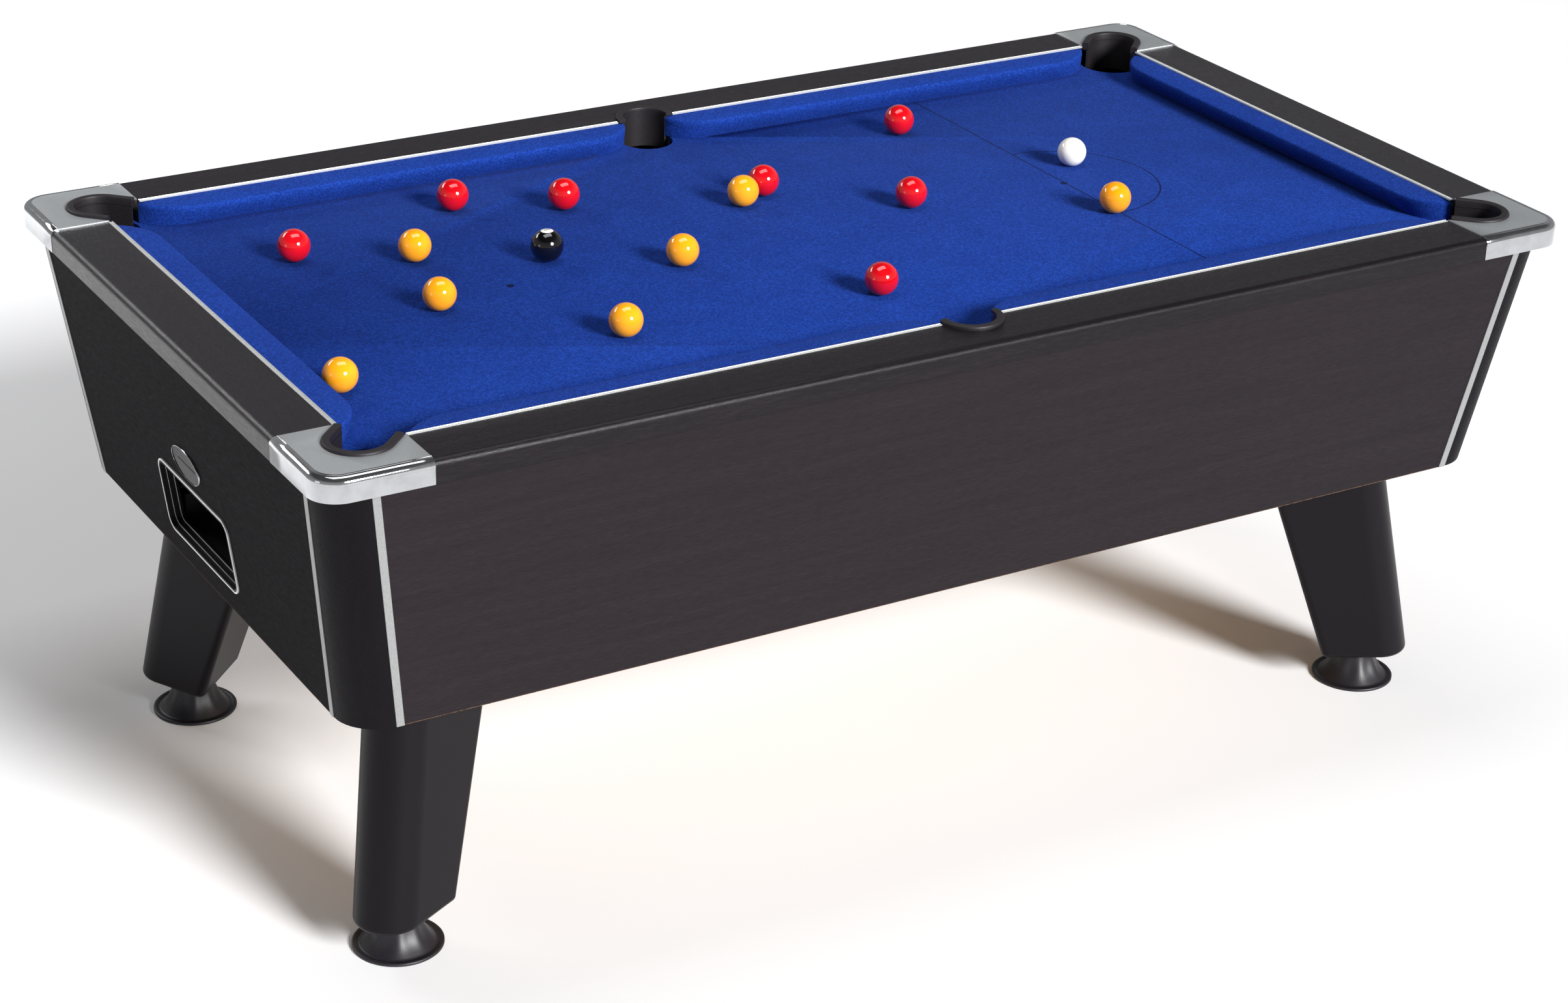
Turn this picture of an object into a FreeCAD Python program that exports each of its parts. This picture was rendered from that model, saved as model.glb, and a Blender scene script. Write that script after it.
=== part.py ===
import FreeCAD, Part
import math
import os

# Freeplay pool table. Millimetres. X runs along the table with the ball return at -X, Z is up,
# and the origin is on the floor under the middle of the bed.

os.makedirs("parts", exist_ok=True)
Vector = FreeCAD.Vector

# Playing surface and rails
playLength = 1812.0  # cushion nose to cushion nose
playWidth = 894.0
cushionWidth = 51.0  # rail face to cushion nose
railWidth = 93.5
railTop = 845.0  # height of the rail top above the floor
railSkirt = 34.0  # visible depth of the rail's outer face
railRound = 10.0
bedDrop = 37.0  # rail top down to the cloth
railOverhang = 14.0  # rail outer face beyond the cabinet

# Corner caps
capLeg = 162.5  # outer corner of the rails to the seam
capProud = 1.5  # cap beyond the rail's outer face
capRise = 2.0  # cap above the rail top
capPlate = 4.0
capSkin = 3.5
capCornerRadius = 45.0
capEdgeRound = 11.0
capBossRadius = 7.0
capBossInset = 17.0  # rail-end bosses from the seam

# Pockets
middleCollarOut = 2.0  # middle pocket centre inside the rail face
middleRimRadius = 49.5
cornerPocketIn = 98.5  # corner pocket centre from the rails' outer faces
cornerRimRadius = 50.0
collarBore = 38.0
collarWall = 3.5
middleRimLeg = 3.0
cornerRimLeg = 36.0
rimHeight = 6.0
rimRound = 2.5
cornerRimDepth = 7.0  # corner rim below the rail top
collarDrop = 24.0  # collar wall below the cloth
collarGap = 0.3
middleDropRadius = 44.0
middleDropIn = 6.0  # middle drop's centre inside the collar's centre
cornerDropRadius = 57.0
cornerDropIn = 5.0

# Cushions and trim
cushionMiddleArc = 72.0
cushionCornerArc = 95.0
cushionNoseDrop = 4.0  # nose edge below the rail top
cushionNoseFace = 6.0
cushionNoseRound = 4.0
cushionUndercut = 14.0
clothGap = 0.3
trimWidth = 7.0
trimThick = 2.5
trimProud = 1.0
trimEndGap = 2.0

# Bed
slateThick = 19.0
clothThick = 1.0
slateGap = 2.0

# Cabinet
cabinetHeight = 386.0
leanLength = 50.5  # outward lean of an end panel over the cabinet's height
leanWidth = 59.0
boardThick = 18.0
floorThick = 16.0
postRadius = 64.0
jointInset = 70.0  # cabinet corner to the middle of a joint strip
jointWidth = 12.0
jointThick = 1.2
tongueWidth = 2.5
tongueDepth = 14.0
tongueGap = 0.25
bearerHeight = 60.0
bearerWidth = 45.0
bearerPlaces = (330.0, 760.0)
ledgeWidth = 30.0
ledgeLength = 800.0

# Ball return
returnWidth = 274.0
returnHeight = 122.0
returnRadius = 22.0
returnLip = 6.0
returnFlange = 2.5
returnStep = 3.0  # inward step of each sleeve ring, per side
returnStepDepth = 8.5
returnBeyond = 4.0
returnFit = 1.0
returnAbove = 101.0  # opening's centre above the cabinet's lower edge
badgeLength = 106.0
badgeHeight = 51.0
badgeThick = 2.5
badgeRim = 2.5
badgeDish = 1.0
badgeAbove = 199.0  # badge's centre above the cabinet's lower edge
runWidth = 60.0
runWall = 5.0
runHeight = 40.0
runLineIn = 13.0  # long run's middle line inside the rail face
runGap = 1.0  # runs and supports clear of the cabinet's inside
longRunUnder = 108.0  # long run's start below the slate
longRunAbove = 175.0  # its finish above the cabinet's lower edge
crossRunStart = 128.0  # cross run's start and finish above the cabinet's lower edge
crossRunFinish = 101.0
crossRunIn = 90.5  # cross run's middle line inside the cabinet's top edge
runEndGap = 3.0
supportThick = 12.0
supportPlaces = (-560.0, 0.0, 560.0)
supportWidth = 56.0
trayLength = 126.0
trayWidth = 262.0
trayGap = 3.6  # tray's front edge clear of the end panel
trayAbove = 49.0  # tray floor above the cabinet's lower edge
trayWall = 6.0
trayRearHeight = 116.0
traySideHeight = 40.0

# Legs and feet
footInX = 107.5  # foot centre inside the cabinet's lower edge
footInY = 118.5
legBottom = 59.4
legNoseOut = 33.0  # leg nose centre from the foot centre, along the diagonal, at the bottom
legSplay = 76.0  # nose centre's run along the diagonal from top to bottom
legNoseRadius = 52.0
legHalfAngle = 16.6
legBackBottom = 81.0  # nose centre to the inner face
legBackTop = 136.0
legCornerRadius = 12.0
legEdgeRound = 8.0
footRadius = 67.0
footRim = 5.0
footRimWidth = 10.0
footTopRadius = 28.0
footNeckRadius = 32.0
footNeckDrop = 13.0
footGap = 0.2
studRadius = 8.0
studReach = 55.0  # stud above the leg's bottom face
studClearance = 0.05
insertRadius = 11.0
insertLength = 40.0
studBoreDeep = 80.0
studBoreRadius = 9.0
boltRadius = 4.0
boltReach = 45.0
boltHeadRadius = 7.0
boltHeadHeight = 6.0
boltFront = (5.0, 22.0)  # outward and across from the leg's top nose centre
boltRear = (-100.0, 48.0)

# Balls
ballRadius = 25.4
cueBallRadius = 23.8
ballGap = 0.3
redBalls = ((-738, 238), (-431, 331), (-273, 257), (40, 170), (395, 328), (223, 16), (-17, -282))
yellowBalls = ((-576, 156), (-626, -40), (-874, -251), (-13, 142), (-224, -44), (-431, -253), (501, -151))
blackBall = (-398, 66)
cueBall = (567, 65)

# Derived places
noseX = playLength / 2
noseY = playWidth / 2
faceX = noseX + cushionWidth  # rails' inner faces
faceY = noseY + cushionWidth
outerX = faceX + railWidth  # rails' outer faces
outerY = faceY + railWidth
seamX = outerX - capLeg
seamY = outerY - capLeg
bedTop = railTop - bedDrop
slateTop = bedTop - clothThick
slateBottom = slateTop - slateThick
cabinetTop = railTop - railSkirt
cabinetBottom = cabinetTop - cabinetHeight
floorTop = cabinetBottom + floorThick
topHalfX = outerX - railOverhang
topHalfY = outerY - railOverhang
middleCentreY = faceY - middleCollarOut
cornerCentre = Vector(outerX - cornerPocketIn, outerY - cornerPocketIn, 0)
collarWallRadius = collarBore + collarWall
rimTop = railTop + rimHeight
jointGap = tongueWidth / 2 + tongueGap
diagonal = 45.0


def halfXAt(z):
    return topHalfX - leanLength * (cabinetTop - z) / cabinetHeight


def halfYAt(z):
    return topHalfY - leanWidth * (cabinetTop - z) / cabinetHeight


slateHalfX = halfXAt(slateBottom) - boardThick - slateGap
slateHalfY = halfYAt(slateBottom) - boardThick - slateGap
footX = halfXAt(cabinetBottom) - footInX
footY = halfYAt(cabinetBottom) - footInY
returnCentre = cabinetBottom + returnAbove
badgeCentre = cabinetBottom + badgeAbove
returnSleeve = boardThick + returnBeyond
crossRunLine = topHalfX - crossRunIn
trayFloor = cabinetBottom + trayAbove
trayFront = halfXAt(trayFloor - trayWall) - boardThick - trayGap


def save(name, shape):
    shape.exportStep("parts/" + name + ".step")


def box(x0, x1, y0, y1, z0, z1):
    return Part.makeBox(x1 - x0, y1 - y0, z1 - z0, Vector(x0, y0, z0))


def cylinder(x, y, z0, z1, radius):
    return Part.makeCylinder(radius, z1 - z0, Vector(x, y, z0))


def polygonFace(points):
    return Part.Face(Part.makePolygon(list(points) + [points[0]]))


def line(a, b):
    return Part.LineSegment(a, b).toShape()


def arc(a, b, c):
    return Part.Arc(a, b, c).toShape()


def mirrored(shape, signX, signY):
    result = shape
    if signX < 0:
        result = result.mirror(Vector(0, 0, 0), Vector(1, 0, 0))
    if signY < 0:
        result = result.mirror(Vector(0, 0, 0), Vector(0, 1, 0))
    return result


def quarterName(signX, signY):
    side = "rear" if signY > 0 else "front"
    end = "right" if signX > 0 else "left"
    return side + "_" + end


quarters = ((-1, -1), (1, -1), (-1, 1), (1, 1))


def roundedRectangle(halfLength, halfWidth, radius, z):
    straightX = halfLength - radius
    straightY = halfWidth - radius
    edges = []
    for index, (signX, signY) in enumerate(((1, 1), (-1, 1), (-1, -1), (1, -1))):
        start = math.radians(90 * index)
        centre = Vector(signX * straightX, signY * straightY, z)
        points = []
        for step in (0, 1, 2):
            angle = start + math.radians(45 * step)
            points.append(centre + Vector(radius * math.cos(angle), radius * math.sin(angle), 0))
        edges.append(arc(*points))
    for index in range(4):
        a = edges[index].Vertexes[-1].Point
        b = edges[(index + 1) % 4].Vertexes[0].Point
        edges.append(line(a, b))
    return Part.Face(Part.Wire(Part.__sortEdges__(edges)))


def uFace(outer, inner, leg, z):
    # A U opening towards -X, with its arc centred on the origin
    edges = [
        line(Vector(-leg, -outer, z), Vector(0, -outer, z)),
        arc(Vector(0, -outer, z), Vector(outer, 0, z), Vector(0, outer, z)),
        line(Vector(0, outer, z), Vector(-leg, outer, z)),
        line(Vector(-leg, outer, z), Vector(-leg, inner, z)),
        line(Vector(-leg, inner, z), Vector(0, inner, z)),
        arc(Vector(0, inner, z), Vector(inner, 0, z), Vector(0, -inner, z)),
        line(Vector(0, -inner, z), Vector(-leg, -inner, z)),
        line(Vector(-leg, -inner, z), Vector(-leg, -outer, z)),
    ]
    return Part.Face(Part.Wire(edges))


def uSlot(radius, leg, z0, z1):
    slot = box(-leg, 0, -radius, radius, z0, z1)
    return cylinder(0, 0, z0, z1, radius).fuse(slot)


def turned(shape, angle, place):
    result = shape.copy()
    result.rotate(Vector(0, 0, 0), Vector(0, 0, 1), angle)
    result.translate(place)
    return result


# Rails


def railProfile(face, outer, slateHalf):
    # In the YZ plane, for the rail at +Y
    groove = railTop - trimThick + trimProud
    step = slateHalf + slateGap
    flat = outer - railRound
    middle = railRound * math.sqrt(0.5)
    points = [
        Vector(0, outer, railTop - railRound),
        Vector(0, outer, cabinetTop),
        Vector(0, step, cabinetTop),
        Vector(0, step, bedTop),
        Vector(0, face, bedTop),
        Vector(0, face, groove),
        Vector(0, face + trimWidth / 2, groove),
        Vector(0, face + trimWidth / 2, railTop),
        Vector(0, flat, railTop),
    ]
    crown = Vector(0, flat + middle, railTop - railRound + middle)
    edges = [line(points[i], points[i + 1]) for i in range(len(points) - 1)]
    edges.append(arc(points[-1], crown, points[0]))
    return Part.Face(Part.Wire(edges))


def sideRail():
    profile = railProfile(faceY, outerY, slateHalfY)
    profile.translate(Vector(-seamX, 0, 0))
    rail = profile.extrude(Vector(2 * seamX, 0, 0))
    notch = cylinder(0, middleCentreY, bedTop - 1, railTop + 1, collarWallRadius + collarGap)
    return rail.cut(notch)


def endRail():
    profile = railProfile(faceX, outerX, slateHalfX)
    profile.translate(Vector(-seamY, 0, 0))
    rail = profile.extrude(Vector(2 * seamY, 0, 0))
    return turned(rail, -90, Vector(0, 0, 0))


def cornerCap():
    # For the corner at +X +Y
    capX = outerX + capProud
    capY = outerY + capProud
    top = railTop + capRise
    outline = box(seamX, capX, seamY, capY, cabinetTop, top)
    upright = [e for e in outline.Edges if isUprightAt(e, capX, capY)]
    solid = outline.makeFillet(capCornerRadius, upright)
    rim = [e for e in solid.Edges if isOuterTop(e, capX, capY, top)]
    solid = solid.makeFillet(capEdgeRound, rim)
    hollow = box(seamX - 1, capX - capSkin, seamY - 1, capY - capSkin, cabinetTop - 1, top - capPlate)
    upright = [e for e in hollow.Edges if isUprightAt(e, capX - capSkin, capY - capSkin)]
    hollow = hollow.makeFillet(capCornerRadius - capSkin, upright)
    solid = solid.cut(hollow)
    for x, y in capBossPlaces():
        solid = solid.fuse(cylinder(x, y, cabinetTop, top - capPlate, capBossRadius))
    mouth = uSlot(cornerRimRadius + collarGap, capLeg, cabinetTop - 1, top + 1)
    return solid.cut(turned(mouth, diagonal, cornerCentre))


def isUprightAt(edge, x, y):
    centre = edge.CenterOfMass
    return abs(centre.x - x) < 0.01 and abs(centre.y - y) < 0.01


def isOuterTop(edge, x, y, z):
    box3 = edge.BoundBox
    if box3.ZMin < z - 0.01:
        return False
    onX = abs(box3.XMin - x) < 0.01
    onY = abs(box3.YMin - y) < 0.01
    onCorner = box3.XMin > x - capCornerRadius - 0.01 and box3.YMin > y - capCornerRadius - 0.01
    return onX or onY or onCorner


def capBossPlaces():
    # One boss on the corner post, one on each neighbouring panel
    reach = (postRadius - boardThick / 2) * math.sqrt(0.5)
    postX = topHalfX - postRadius
    postY = topHalfY - postRadius
    board = boardThick / 2
    return (
        (postX + reach, postY + reach),
        (seamX + capBossInset, topHalfY - board),
        (topHalfX - board, seamY + capBossInset),
    )


# Pockets


def collar(rimRadius, leg, wallLeg, rimBottom):
    rim = uFace(rimRadius, collarBore, leg, rimBottom).extrude(Vector(0, 0, rimTop - rimBottom))
    crest = [e for e in rim.Edges if e.BoundBox.ZMin > rimTop - 0.01]
    rim = rim.makeFillet(rimRound, crest)
    wall = uFace(collarWallRadius, collarBore, wallLeg, bedTop - collarDrop)
    wall = wall.extrude(Vector(0, 0, rimBottom + 1 - bedTop + collarDrop))
    return rim.fuse(wall).removeSplitter()


def middleCollar():
    # The wall stops at the rail face, clear of the cushion ends
    ring = collar(middleRimRadius, middleRimLeg, middleRimLeg, railTop)
    wallStart = middleCollarOut + collarGap
    clear = box(-collarWallRadius, wallStart, -collarWallRadius, collarWallRadius, 0, railTop)
    return turned(ring.cut(clear), 90, Vector(0, middleCentreY, 0))


def cornerCollar():
    ring = collar(cornerRimRadius, cornerRimLeg, cornerRimLeg, railTop - cornerRimDepth)
    return turned(ring, diagonal, cornerCentre)


# Cushions


def cushionProfile(face, length):
    # In the YZ plane, for the cushion at +Y, from x = -length / 2
    nose = face - cushionWidth
    noseTop = railTop - cushionNoseDrop
    points = [
        Vector(0, face, bedTop + clothGap),
        Vector(0, face, railTop - trimThick + trimProud),
        Vector(0, nose + cushionNoseRound, noseTop),
        Vector(0, nose, noseTop - cushionNoseRound),
        Vector(0, nose, noseTop - cushionNoseRound - cushionNoseFace),
        Vector(0, nose + cushionUndercut, bedTop + clothGap),
    ]
    profile = polygonFace(points)
    profile.translate(Vector(-length / 2, 0, 0))
    return profile.extrude(Vector(length, 0, 0))


def endArc(pocketX, towards, face, radius):
    # Where the nose curve leaves the straight nose, its halfway point, and where it meets the rail face
    nose = face - cushionWidth
    centreY = nose + radius
    chord = math.sqrt(radius**2 - (centreY - face) ** 2)
    centreX = pocketX - towards * chord
    sweep = math.atan2(chord, centreY - face)
    halfX = centreX + towards * radius * math.sin(sweep / 2)
    halfY = centreY - radius * math.cos(sweep / 2)
    return Vector(centreX, nose, 0), Vector(halfX, halfY, 0), Vector(pocketX, face, 0)


def cushionPlan(startX, startRadius, endX, endRadius, face):
    startNose, startMiddle, startFace = endArc(startX, -1, face, startRadius)
    endNose, endMiddle, endFace = endArc(endX, 1, face, endRadius)
    edges = [
        arc(startFace, startMiddle, startNose),
        line(startNose, endNose),
        arc(endNose, endMiddle, endFace),
        line(endFace, startFace),
    ]
    return Part.Face(Part.Wire(edges)).extrude(Vector(0, 0, rimTop))


def sideCushion():
    # The one at +X +Y
    plan = cushionPlan(collarBore + collarGap, cushionMiddleArc, seamX, cushionCornerArc, faceY)
    return cushionProfile(faceY, 2 * seamX).common(plan)


def endCushion():
    # The one at +X
    plan = cushionPlan(-seamY, cushionCornerArc, seamY, cushionCornerArc, faceX)
    cushion = cushionProfile(faceX, 2 * seamY).common(plan)
    return turned(cushion, -90, Vector(0, 0, 0))


def clothTrims():
    bottom = railTop + trimProud - trimThick
    top = railTop + trimProud
    half = trimWidth / 2
    side = box(middleRimRadius + trimEndGap, seamX - trimEndGap, faceY - half, faceY + half, bottom, top)
    end = box(faceX - half, faceX + half, trimEndGap - seamY, seamY - trimEndGap, bottom, top)
    strips = [mirrored(side, signX, signY) for signX, signY in quarters]
    strips += [mirrored(end, sign, 1) for sign in (-1, 1)]
    return Part.makeCompound(strips)


# Bed


def bedSheet(bottom, thick):
    # Slate and cloth share one outline, open at each pocket to the edge
    corner = postRadius - boardThick
    sheet = roundedRectangle(slateHalfX, slateHalfY, corner, bottom).extrude(Vector(0, 0, thick))
    middle = uSlot(middleDropRadius, slateHalfY, bottom - 1, bottom + thick + 1)
    drop = cornerCentre - Vector(1, 1, 0) * (cornerDropIn * math.sqrt(0.5))
    mouth = uSlot(cornerDropRadius, slateHalfY, bottom - 1, bottom + thick + 1)
    for signY in (-1, 1):
        place = Vector(0, signY * (middleCentreY - middleDropIn), 0)
        sheet = sheet.cut(turned(middle, -90 * signY, place))
    for signX, signY in quarters:
        sheet = sheet.cut(mirrored(turned(mouth, diagonal + 180, drop), signX, signY))
    return sheet


# Cabinet


def leaningBoard(half, inset, outward):
    # Board at +Y of a frame whose half sizes at a height are half(z) along and outward(z) across
    wires = []
    for z in (cabinetBottom, cabinetTop):
        along = half(z) - inset
        face = outward(z)
        corners = [
            Vector(-along, face - boardThick, z),
            Vector(along, face - boardThick, z),
            Vector(along, face, z),
            Vector(-along, face, z),
        ]
        wires.append(Part.makePolygon(corners + [corners[0]]))
    return Part.makeLoft(wires, True, True)


def sidePanel():
    return leaningBoard(halfXAt, jointInset + jointGap, halfYAt)


def endPanel():
    return turned(leaningBoard(halfYAt, jointInset + jointGap, halfXAt), -90, Vector(0, 0, 0))


def cornerLean():
    return Vector(leanLength, leanWidth, cabinetHeight)


def cornerPosts():
    x = halfXAt(cabinetBottom) - postRadius
    y = halfYAt(cabinetBottom) - postRadius
    tail = jointInset - jointGap - postRadius
    section = uQuarter(postRadius, postRadius - boardThick, tail)
    section.translate(Vector(x, y, cabinetBottom))
    post = section.extrude(cornerLean())
    return Part.makeCompound([mirrored(post, signX, signY) for signX, signY in quarters])


def uQuarter(outer, inner, tail):
    # Quarter ring with straight tails, centred on the origin
    root = math.sqrt(0.5)
    edges = [
        line(Vector(outer, -tail, 0), Vector(outer, 0, 0)),
        arc(Vector(outer, 0, 0), Vector(outer * root, outer * root, 0), Vector(0, outer, 0)),
        line(Vector(0, outer, 0), Vector(-tail, outer, 0)),
        line(Vector(-tail, outer, 0), Vector(-tail, inner, 0)),
        line(Vector(-tail, inner, 0), Vector(0, inner, 0)),
        arc(Vector(0, inner, 0), Vector(inner * root, inner * root, 0), Vector(inner, 0, 0)),
        line(Vector(inner, 0, 0), Vector(inner, -tail, 0)),
        line(Vector(inner, -tail, 0), Vector(outer, -tail, 0)),
    ]
    return Part.Face(Part.Wire(edges))


def jointStrips():
    half = jointWidth / 2
    tongue = tongueWidth / 2
    section = polygonFace(
        [
            Vector(-half, 0, 0),
            Vector(-tongue, 0, 0),
            Vector(-tongue, -tongueDepth, 0),
            Vector(tongue, -tongueDepth, 0),
            Vector(tongue, 0, 0),
            Vector(half, 0, 0),
            Vector(half, jointThick, 0),
            Vector(-half, jointThick, 0),
        ]
    )
    x = halfXAt(cabinetBottom)
    y = halfYAt(cabinetBottom)
    side = turned(section, 0, Vector(x - jointInset, y, cabinetBottom)).extrude(cornerLean())
    end = turned(section, -90, Vector(x, y - jointInset, cabinetBottom)).extrude(cornerLean())
    strips = []
    for signX, signY in quarters:
        strips.append(mirrored(side, signX, signY))
        strips.append(mirrored(end, signX, signY))
    return Part.makeCompound(strips)


def cabinetFloor():
    halfX = halfXAt(cabinetBottom) - boardThick
    halfY = halfYAt(cabinetBottom) - boardThick
    face = roundedRectangle(halfX, halfY, postRadius - boardThick, cabinetBottom)
    board = face.extrude(Vector(0, 0, floorThick))
    for bolt in boltPlaces():
        hole = cylinder(bolt.x, bolt.y, cabinetBottom - 1, floorTop + 1, boltRadius)
        for signX, signY in quarters:
            board = board.cut(mirrored(hole, signX, signY))
    return board


def slateBearers():
    low = slateBottom - bearerHeight
    lowY = halfYAt(low) - boardThick
    highY = halfYAt(slateBottom) - boardThick
    trapezoid = polygonFace(
        [
            Vector(0, -lowY, low),
            Vector(0, lowY, low),
            Vector(0, highY, slateBottom),
            Vector(0, -highY, slateBottom),
        ]
    )
    beam = trapezoid.extrude(Vector(bearerWidth, 0, 0))
    lowX = halfXAt(low) - boardThick
    highX = halfXAt(slateBottom) - boardThick
    ledge = polygonFace(
        [
            Vector(lowX - ledgeWidth, -ledgeLength / 2, low),
            Vector(lowX, -ledgeLength / 2, low),
            Vector(highX, -ledgeLength / 2, slateBottom),
            Vector(lowX - ledgeWidth, -ledgeLength / 2, slateBottom),
        ]
    ).extrude(Vector(0, ledgeLength, 0))
    pieces = []
    for place in bearerPlaces:
        for sign in (-1, 1):
            pieces.append(turned(beam, 0, Vector(sign * place - bearerWidth / 2, 0, 0)))
    pieces += [mirrored(ledge, sign, 1) for sign in (-1, 1)]
    return Part.makeCompound(pieces)


# Ball return


def gutter(centre, travel):
    # U channel whose section stands across its level direction of travel, floor top at centre
    half = runWidth / 2
    points = [
        Vector(0, -half - runWall, -runWall),
        Vector(0, half + runWall, -runWall),
        Vector(0, half + runWall, runHeight),
        Vector(0, half, runHeight),
        Vector(0, half, 0),
        Vector(0, -half, 0),
        Vector(0, -half, runHeight),
        Vector(0, -half - runWall, runHeight),
    ]
    section = polygonFace(points)
    heading = math.degrees(math.atan2(travel.y, travel.x))
    return turned(section, heading, centre).extrude(travel)


def cabinetInside():
    wires = []
    for z in (cabinetBottom, cabinetTop):
        inset = boardThick + runGap
        face = roundedRectangle(halfXAt(z) - inset, halfYAt(z) - inset, postRadius - inset, z)
        wires.append(face.OuterWire)
    return Part.makeLoft(wires, True, True)


def longRunPlace():
    start = Vector(slateHalfX, faceY - runLineIn, slateBottom - longRunUnder)
    finishX = runWidth / 2 + 2 * runWall + runEndGap - crossRunLine
    finish = Vector(finishX, start.y, cabinetBottom + longRunAbove)
    return start, finish


def crossRunPlace():
    start = Vector(-crossRunLine, slateHalfY, cabinetBottom + crossRunStart)
    finish = Vector(-crossRunLine, trayWidth / 2 + trayWall + runEndGap, cabinetBottom + crossRunFinish)
    return start, finish


def runSupport(x, y, lengthX, lengthY, top):
    return box(x - lengthX / 2, x + lengthX / 2, y - lengthY / 2, y + lengthY / 2, floorTop, top)


def ballRuns():
    start, finish = longRunPlace()
    pieces = [gutter(start, finish - start)]
    slope = (start.z - finish.z) / (start.x - finish.x)
    for place in supportPlaces:
        top = start.z - runWall + slope * (place - supportThick / 2 - start.x)
        pieces.append(runSupport(place, start.y, supportThick, supportWidth, top))
    start, finish = crossRunPlace()
    pieces.append(gutter(start, finish - start))
    y = (start.y + finish.y) / 2
    fall = (start.z - finish.z) / (start.y - finish.y)
    top = start.z - runWall + fall * (y - supportThick / 2 - start.y)
    pieces.append(runSupport(start.x, y, supportWidth, supportThick, top))
    inside = cabinetInside()
    trimmed = [piece.common(inside) for piece in pieces]
    return Part.makeCompound([mirrored(piece, 1, sign) for sign in (-1, 1) for piece in trimmed])


def returnTray():
    x0 = -trayFront
    x1 = x0 + trayLength
    half = trayWidth / 2
    tray = box(x0, x1, -half, half, trayFloor - trayWall, trayFloor)
    rearTop = trayFloor + trayRearHeight
    tray = tray.fuse(box(x1, x1 + trayWall, -half - trayWall, half + trayWall, floorTop, rearTop))
    for sign in (-1, 1):
        y0 = sign * half - (trayWall if sign < 0 else 0)
        tray = tray.fuse(box(x0, x1, y0, y0 + trayWall, floorTop, trayFloor + traySideHeight))
    return tray.removeSplitter()


def onReturnPanel(shape, height):
    # Local X runs towards -Y, local Y up the leaning panel, local Z out of it
    lean = math.atan2(leanLength, cabinetHeight)
    up = Vector(-math.sin(lean), 0, math.cos(lean))
    out = Vector(-math.cos(lean), 0, -math.sin(lean))
    place = Vector(-halfXAt(height), 0, height)
    matrix = FreeCAD.Matrix(
        0, up.x, out.x, place.x,
        -1, up.y, out.y, place.y,
        0, up.z, out.z, place.z,
        0, 0, 0, 1,
    )
    result = shape.copy()
    result.Placement = FreeCAD.Placement(matrix)
    return result


def returnOutline(inset, z):
    return roundedRectangle(returnWidth / 2 - inset, returnHeight / 2 - inset, returnRadius - inset, z)


def returnRing(outerInset, innerInset, z0, z1):
    parts = []
    for inset, extra in ((outerInset, 0), (innerInset, 1)):
        face = returnOutline(inset, z0 - extra)
        parts.append(face.extrude(Vector(0, 0, z1 - z0 + 2 * extra)))
    return parts[0].cut(parts[1])


def returnSurround():
    surround = returnRing(0, returnLip, 0, returnFlange)
    depth = 0.0
    ends = (returnStepDepth, 2 * returnStepDepth, returnSleeve)
    for index, end in enumerate(ends):
        ring = returnRing(returnLip - returnFit, returnLip + index * returnStep, -end, -depth)
        surround = surround.fuse(ring)
        depth = end
    return onReturnPanel(surround.removeSplitter(), returnCentre)


def returnPanel():
    inset = returnLip - returnFit - collarGap
    face = returnOutline(inset, -2 * boardThick)
    hole = onReturnPanel(face.extrude(Vector(0, 0, 3 * boardThick)), returnCentre)
    return mirrored(endPanel(), -1, 1).cut(hole)


def ellipsePlate(length, height, z0, z1):
    edge = Part.Ellipse(Vector(0, 0, z0), length / 2, height / 2).toShape()
    return Part.Face(Part.Wire([edge])).extrude(Vector(0, 0, z1 - z0))


def badgePlate():
    plate = ellipsePlate(badgeLength, badgeHeight, 0, badgeThick)
    rim = 2 * badgeRim
    dish = ellipsePlate(badgeLength - rim, badgeHeight - rim, badgeThick - badgeDish, badgeThick + 1)
    return onReturnPanel(plate.cut(dish), badgeCentre)


# Legs


def legCentre(z):
    run = (z - legBottom) / (cabinetBottom - legBottom)
    out = (legNoseOut - legSplay * run) * math.sqrt(0.5)
    return Vector(footX + out, footY + out, z)


def legWire(back, z):
    # Wedge with a round nose towards +X, then turned to the diagonal
    angle = math.radians(legHalfAngle)
    nose = legNoseRadius
    corner = legCornerRadius
    across = Vector(math.sin(angle), math.cos(angle), 0)
    cornerX = corner - back
    cornerY = (nose - corner) / math.cos(angle) - cornerX * math.tan(angle)
    corner1 = Vector(cornerX, cornerY, 0)
    swing = (math.pi / 2 - angle + math.pi) / 2
    bulge = corner1 + Vector(corner * math.cos(swing), corner * math.sin(swing), 0)
    upper = [across * nose, corner1 + across * corner, bulge, corner1 + Vector(-corner, 0, 0)]
    lower = [Vector(p.x, -p.y, 0) for p in upper]
    edges = [
        arc(lower[0], Vector(nose, 0, 0), upper[0]),
        line(upper[0], upper[1]),
        arc(upper[1], upper[2], upper[3]),
        line(upper[3], lower[3]),
        arc(lower[3], lower[2], lower[1]),
        line(lower[1], lower[0]),
    ]
    return turned(Part.Wire(edges), diagonal, legCentre(z))


def boltPlaces():
    top = legCentre(cabinetBottom)
    root = math.sqrt(0.5)
    places = []
    for out, across in (boltFront, boltRear):
        for sign in (-1, 1):
            x = top.x + (out - sign * across) * root
            places.append(Vector(x, top.y + (out + sign * across) * root, 0))
    return places


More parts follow.
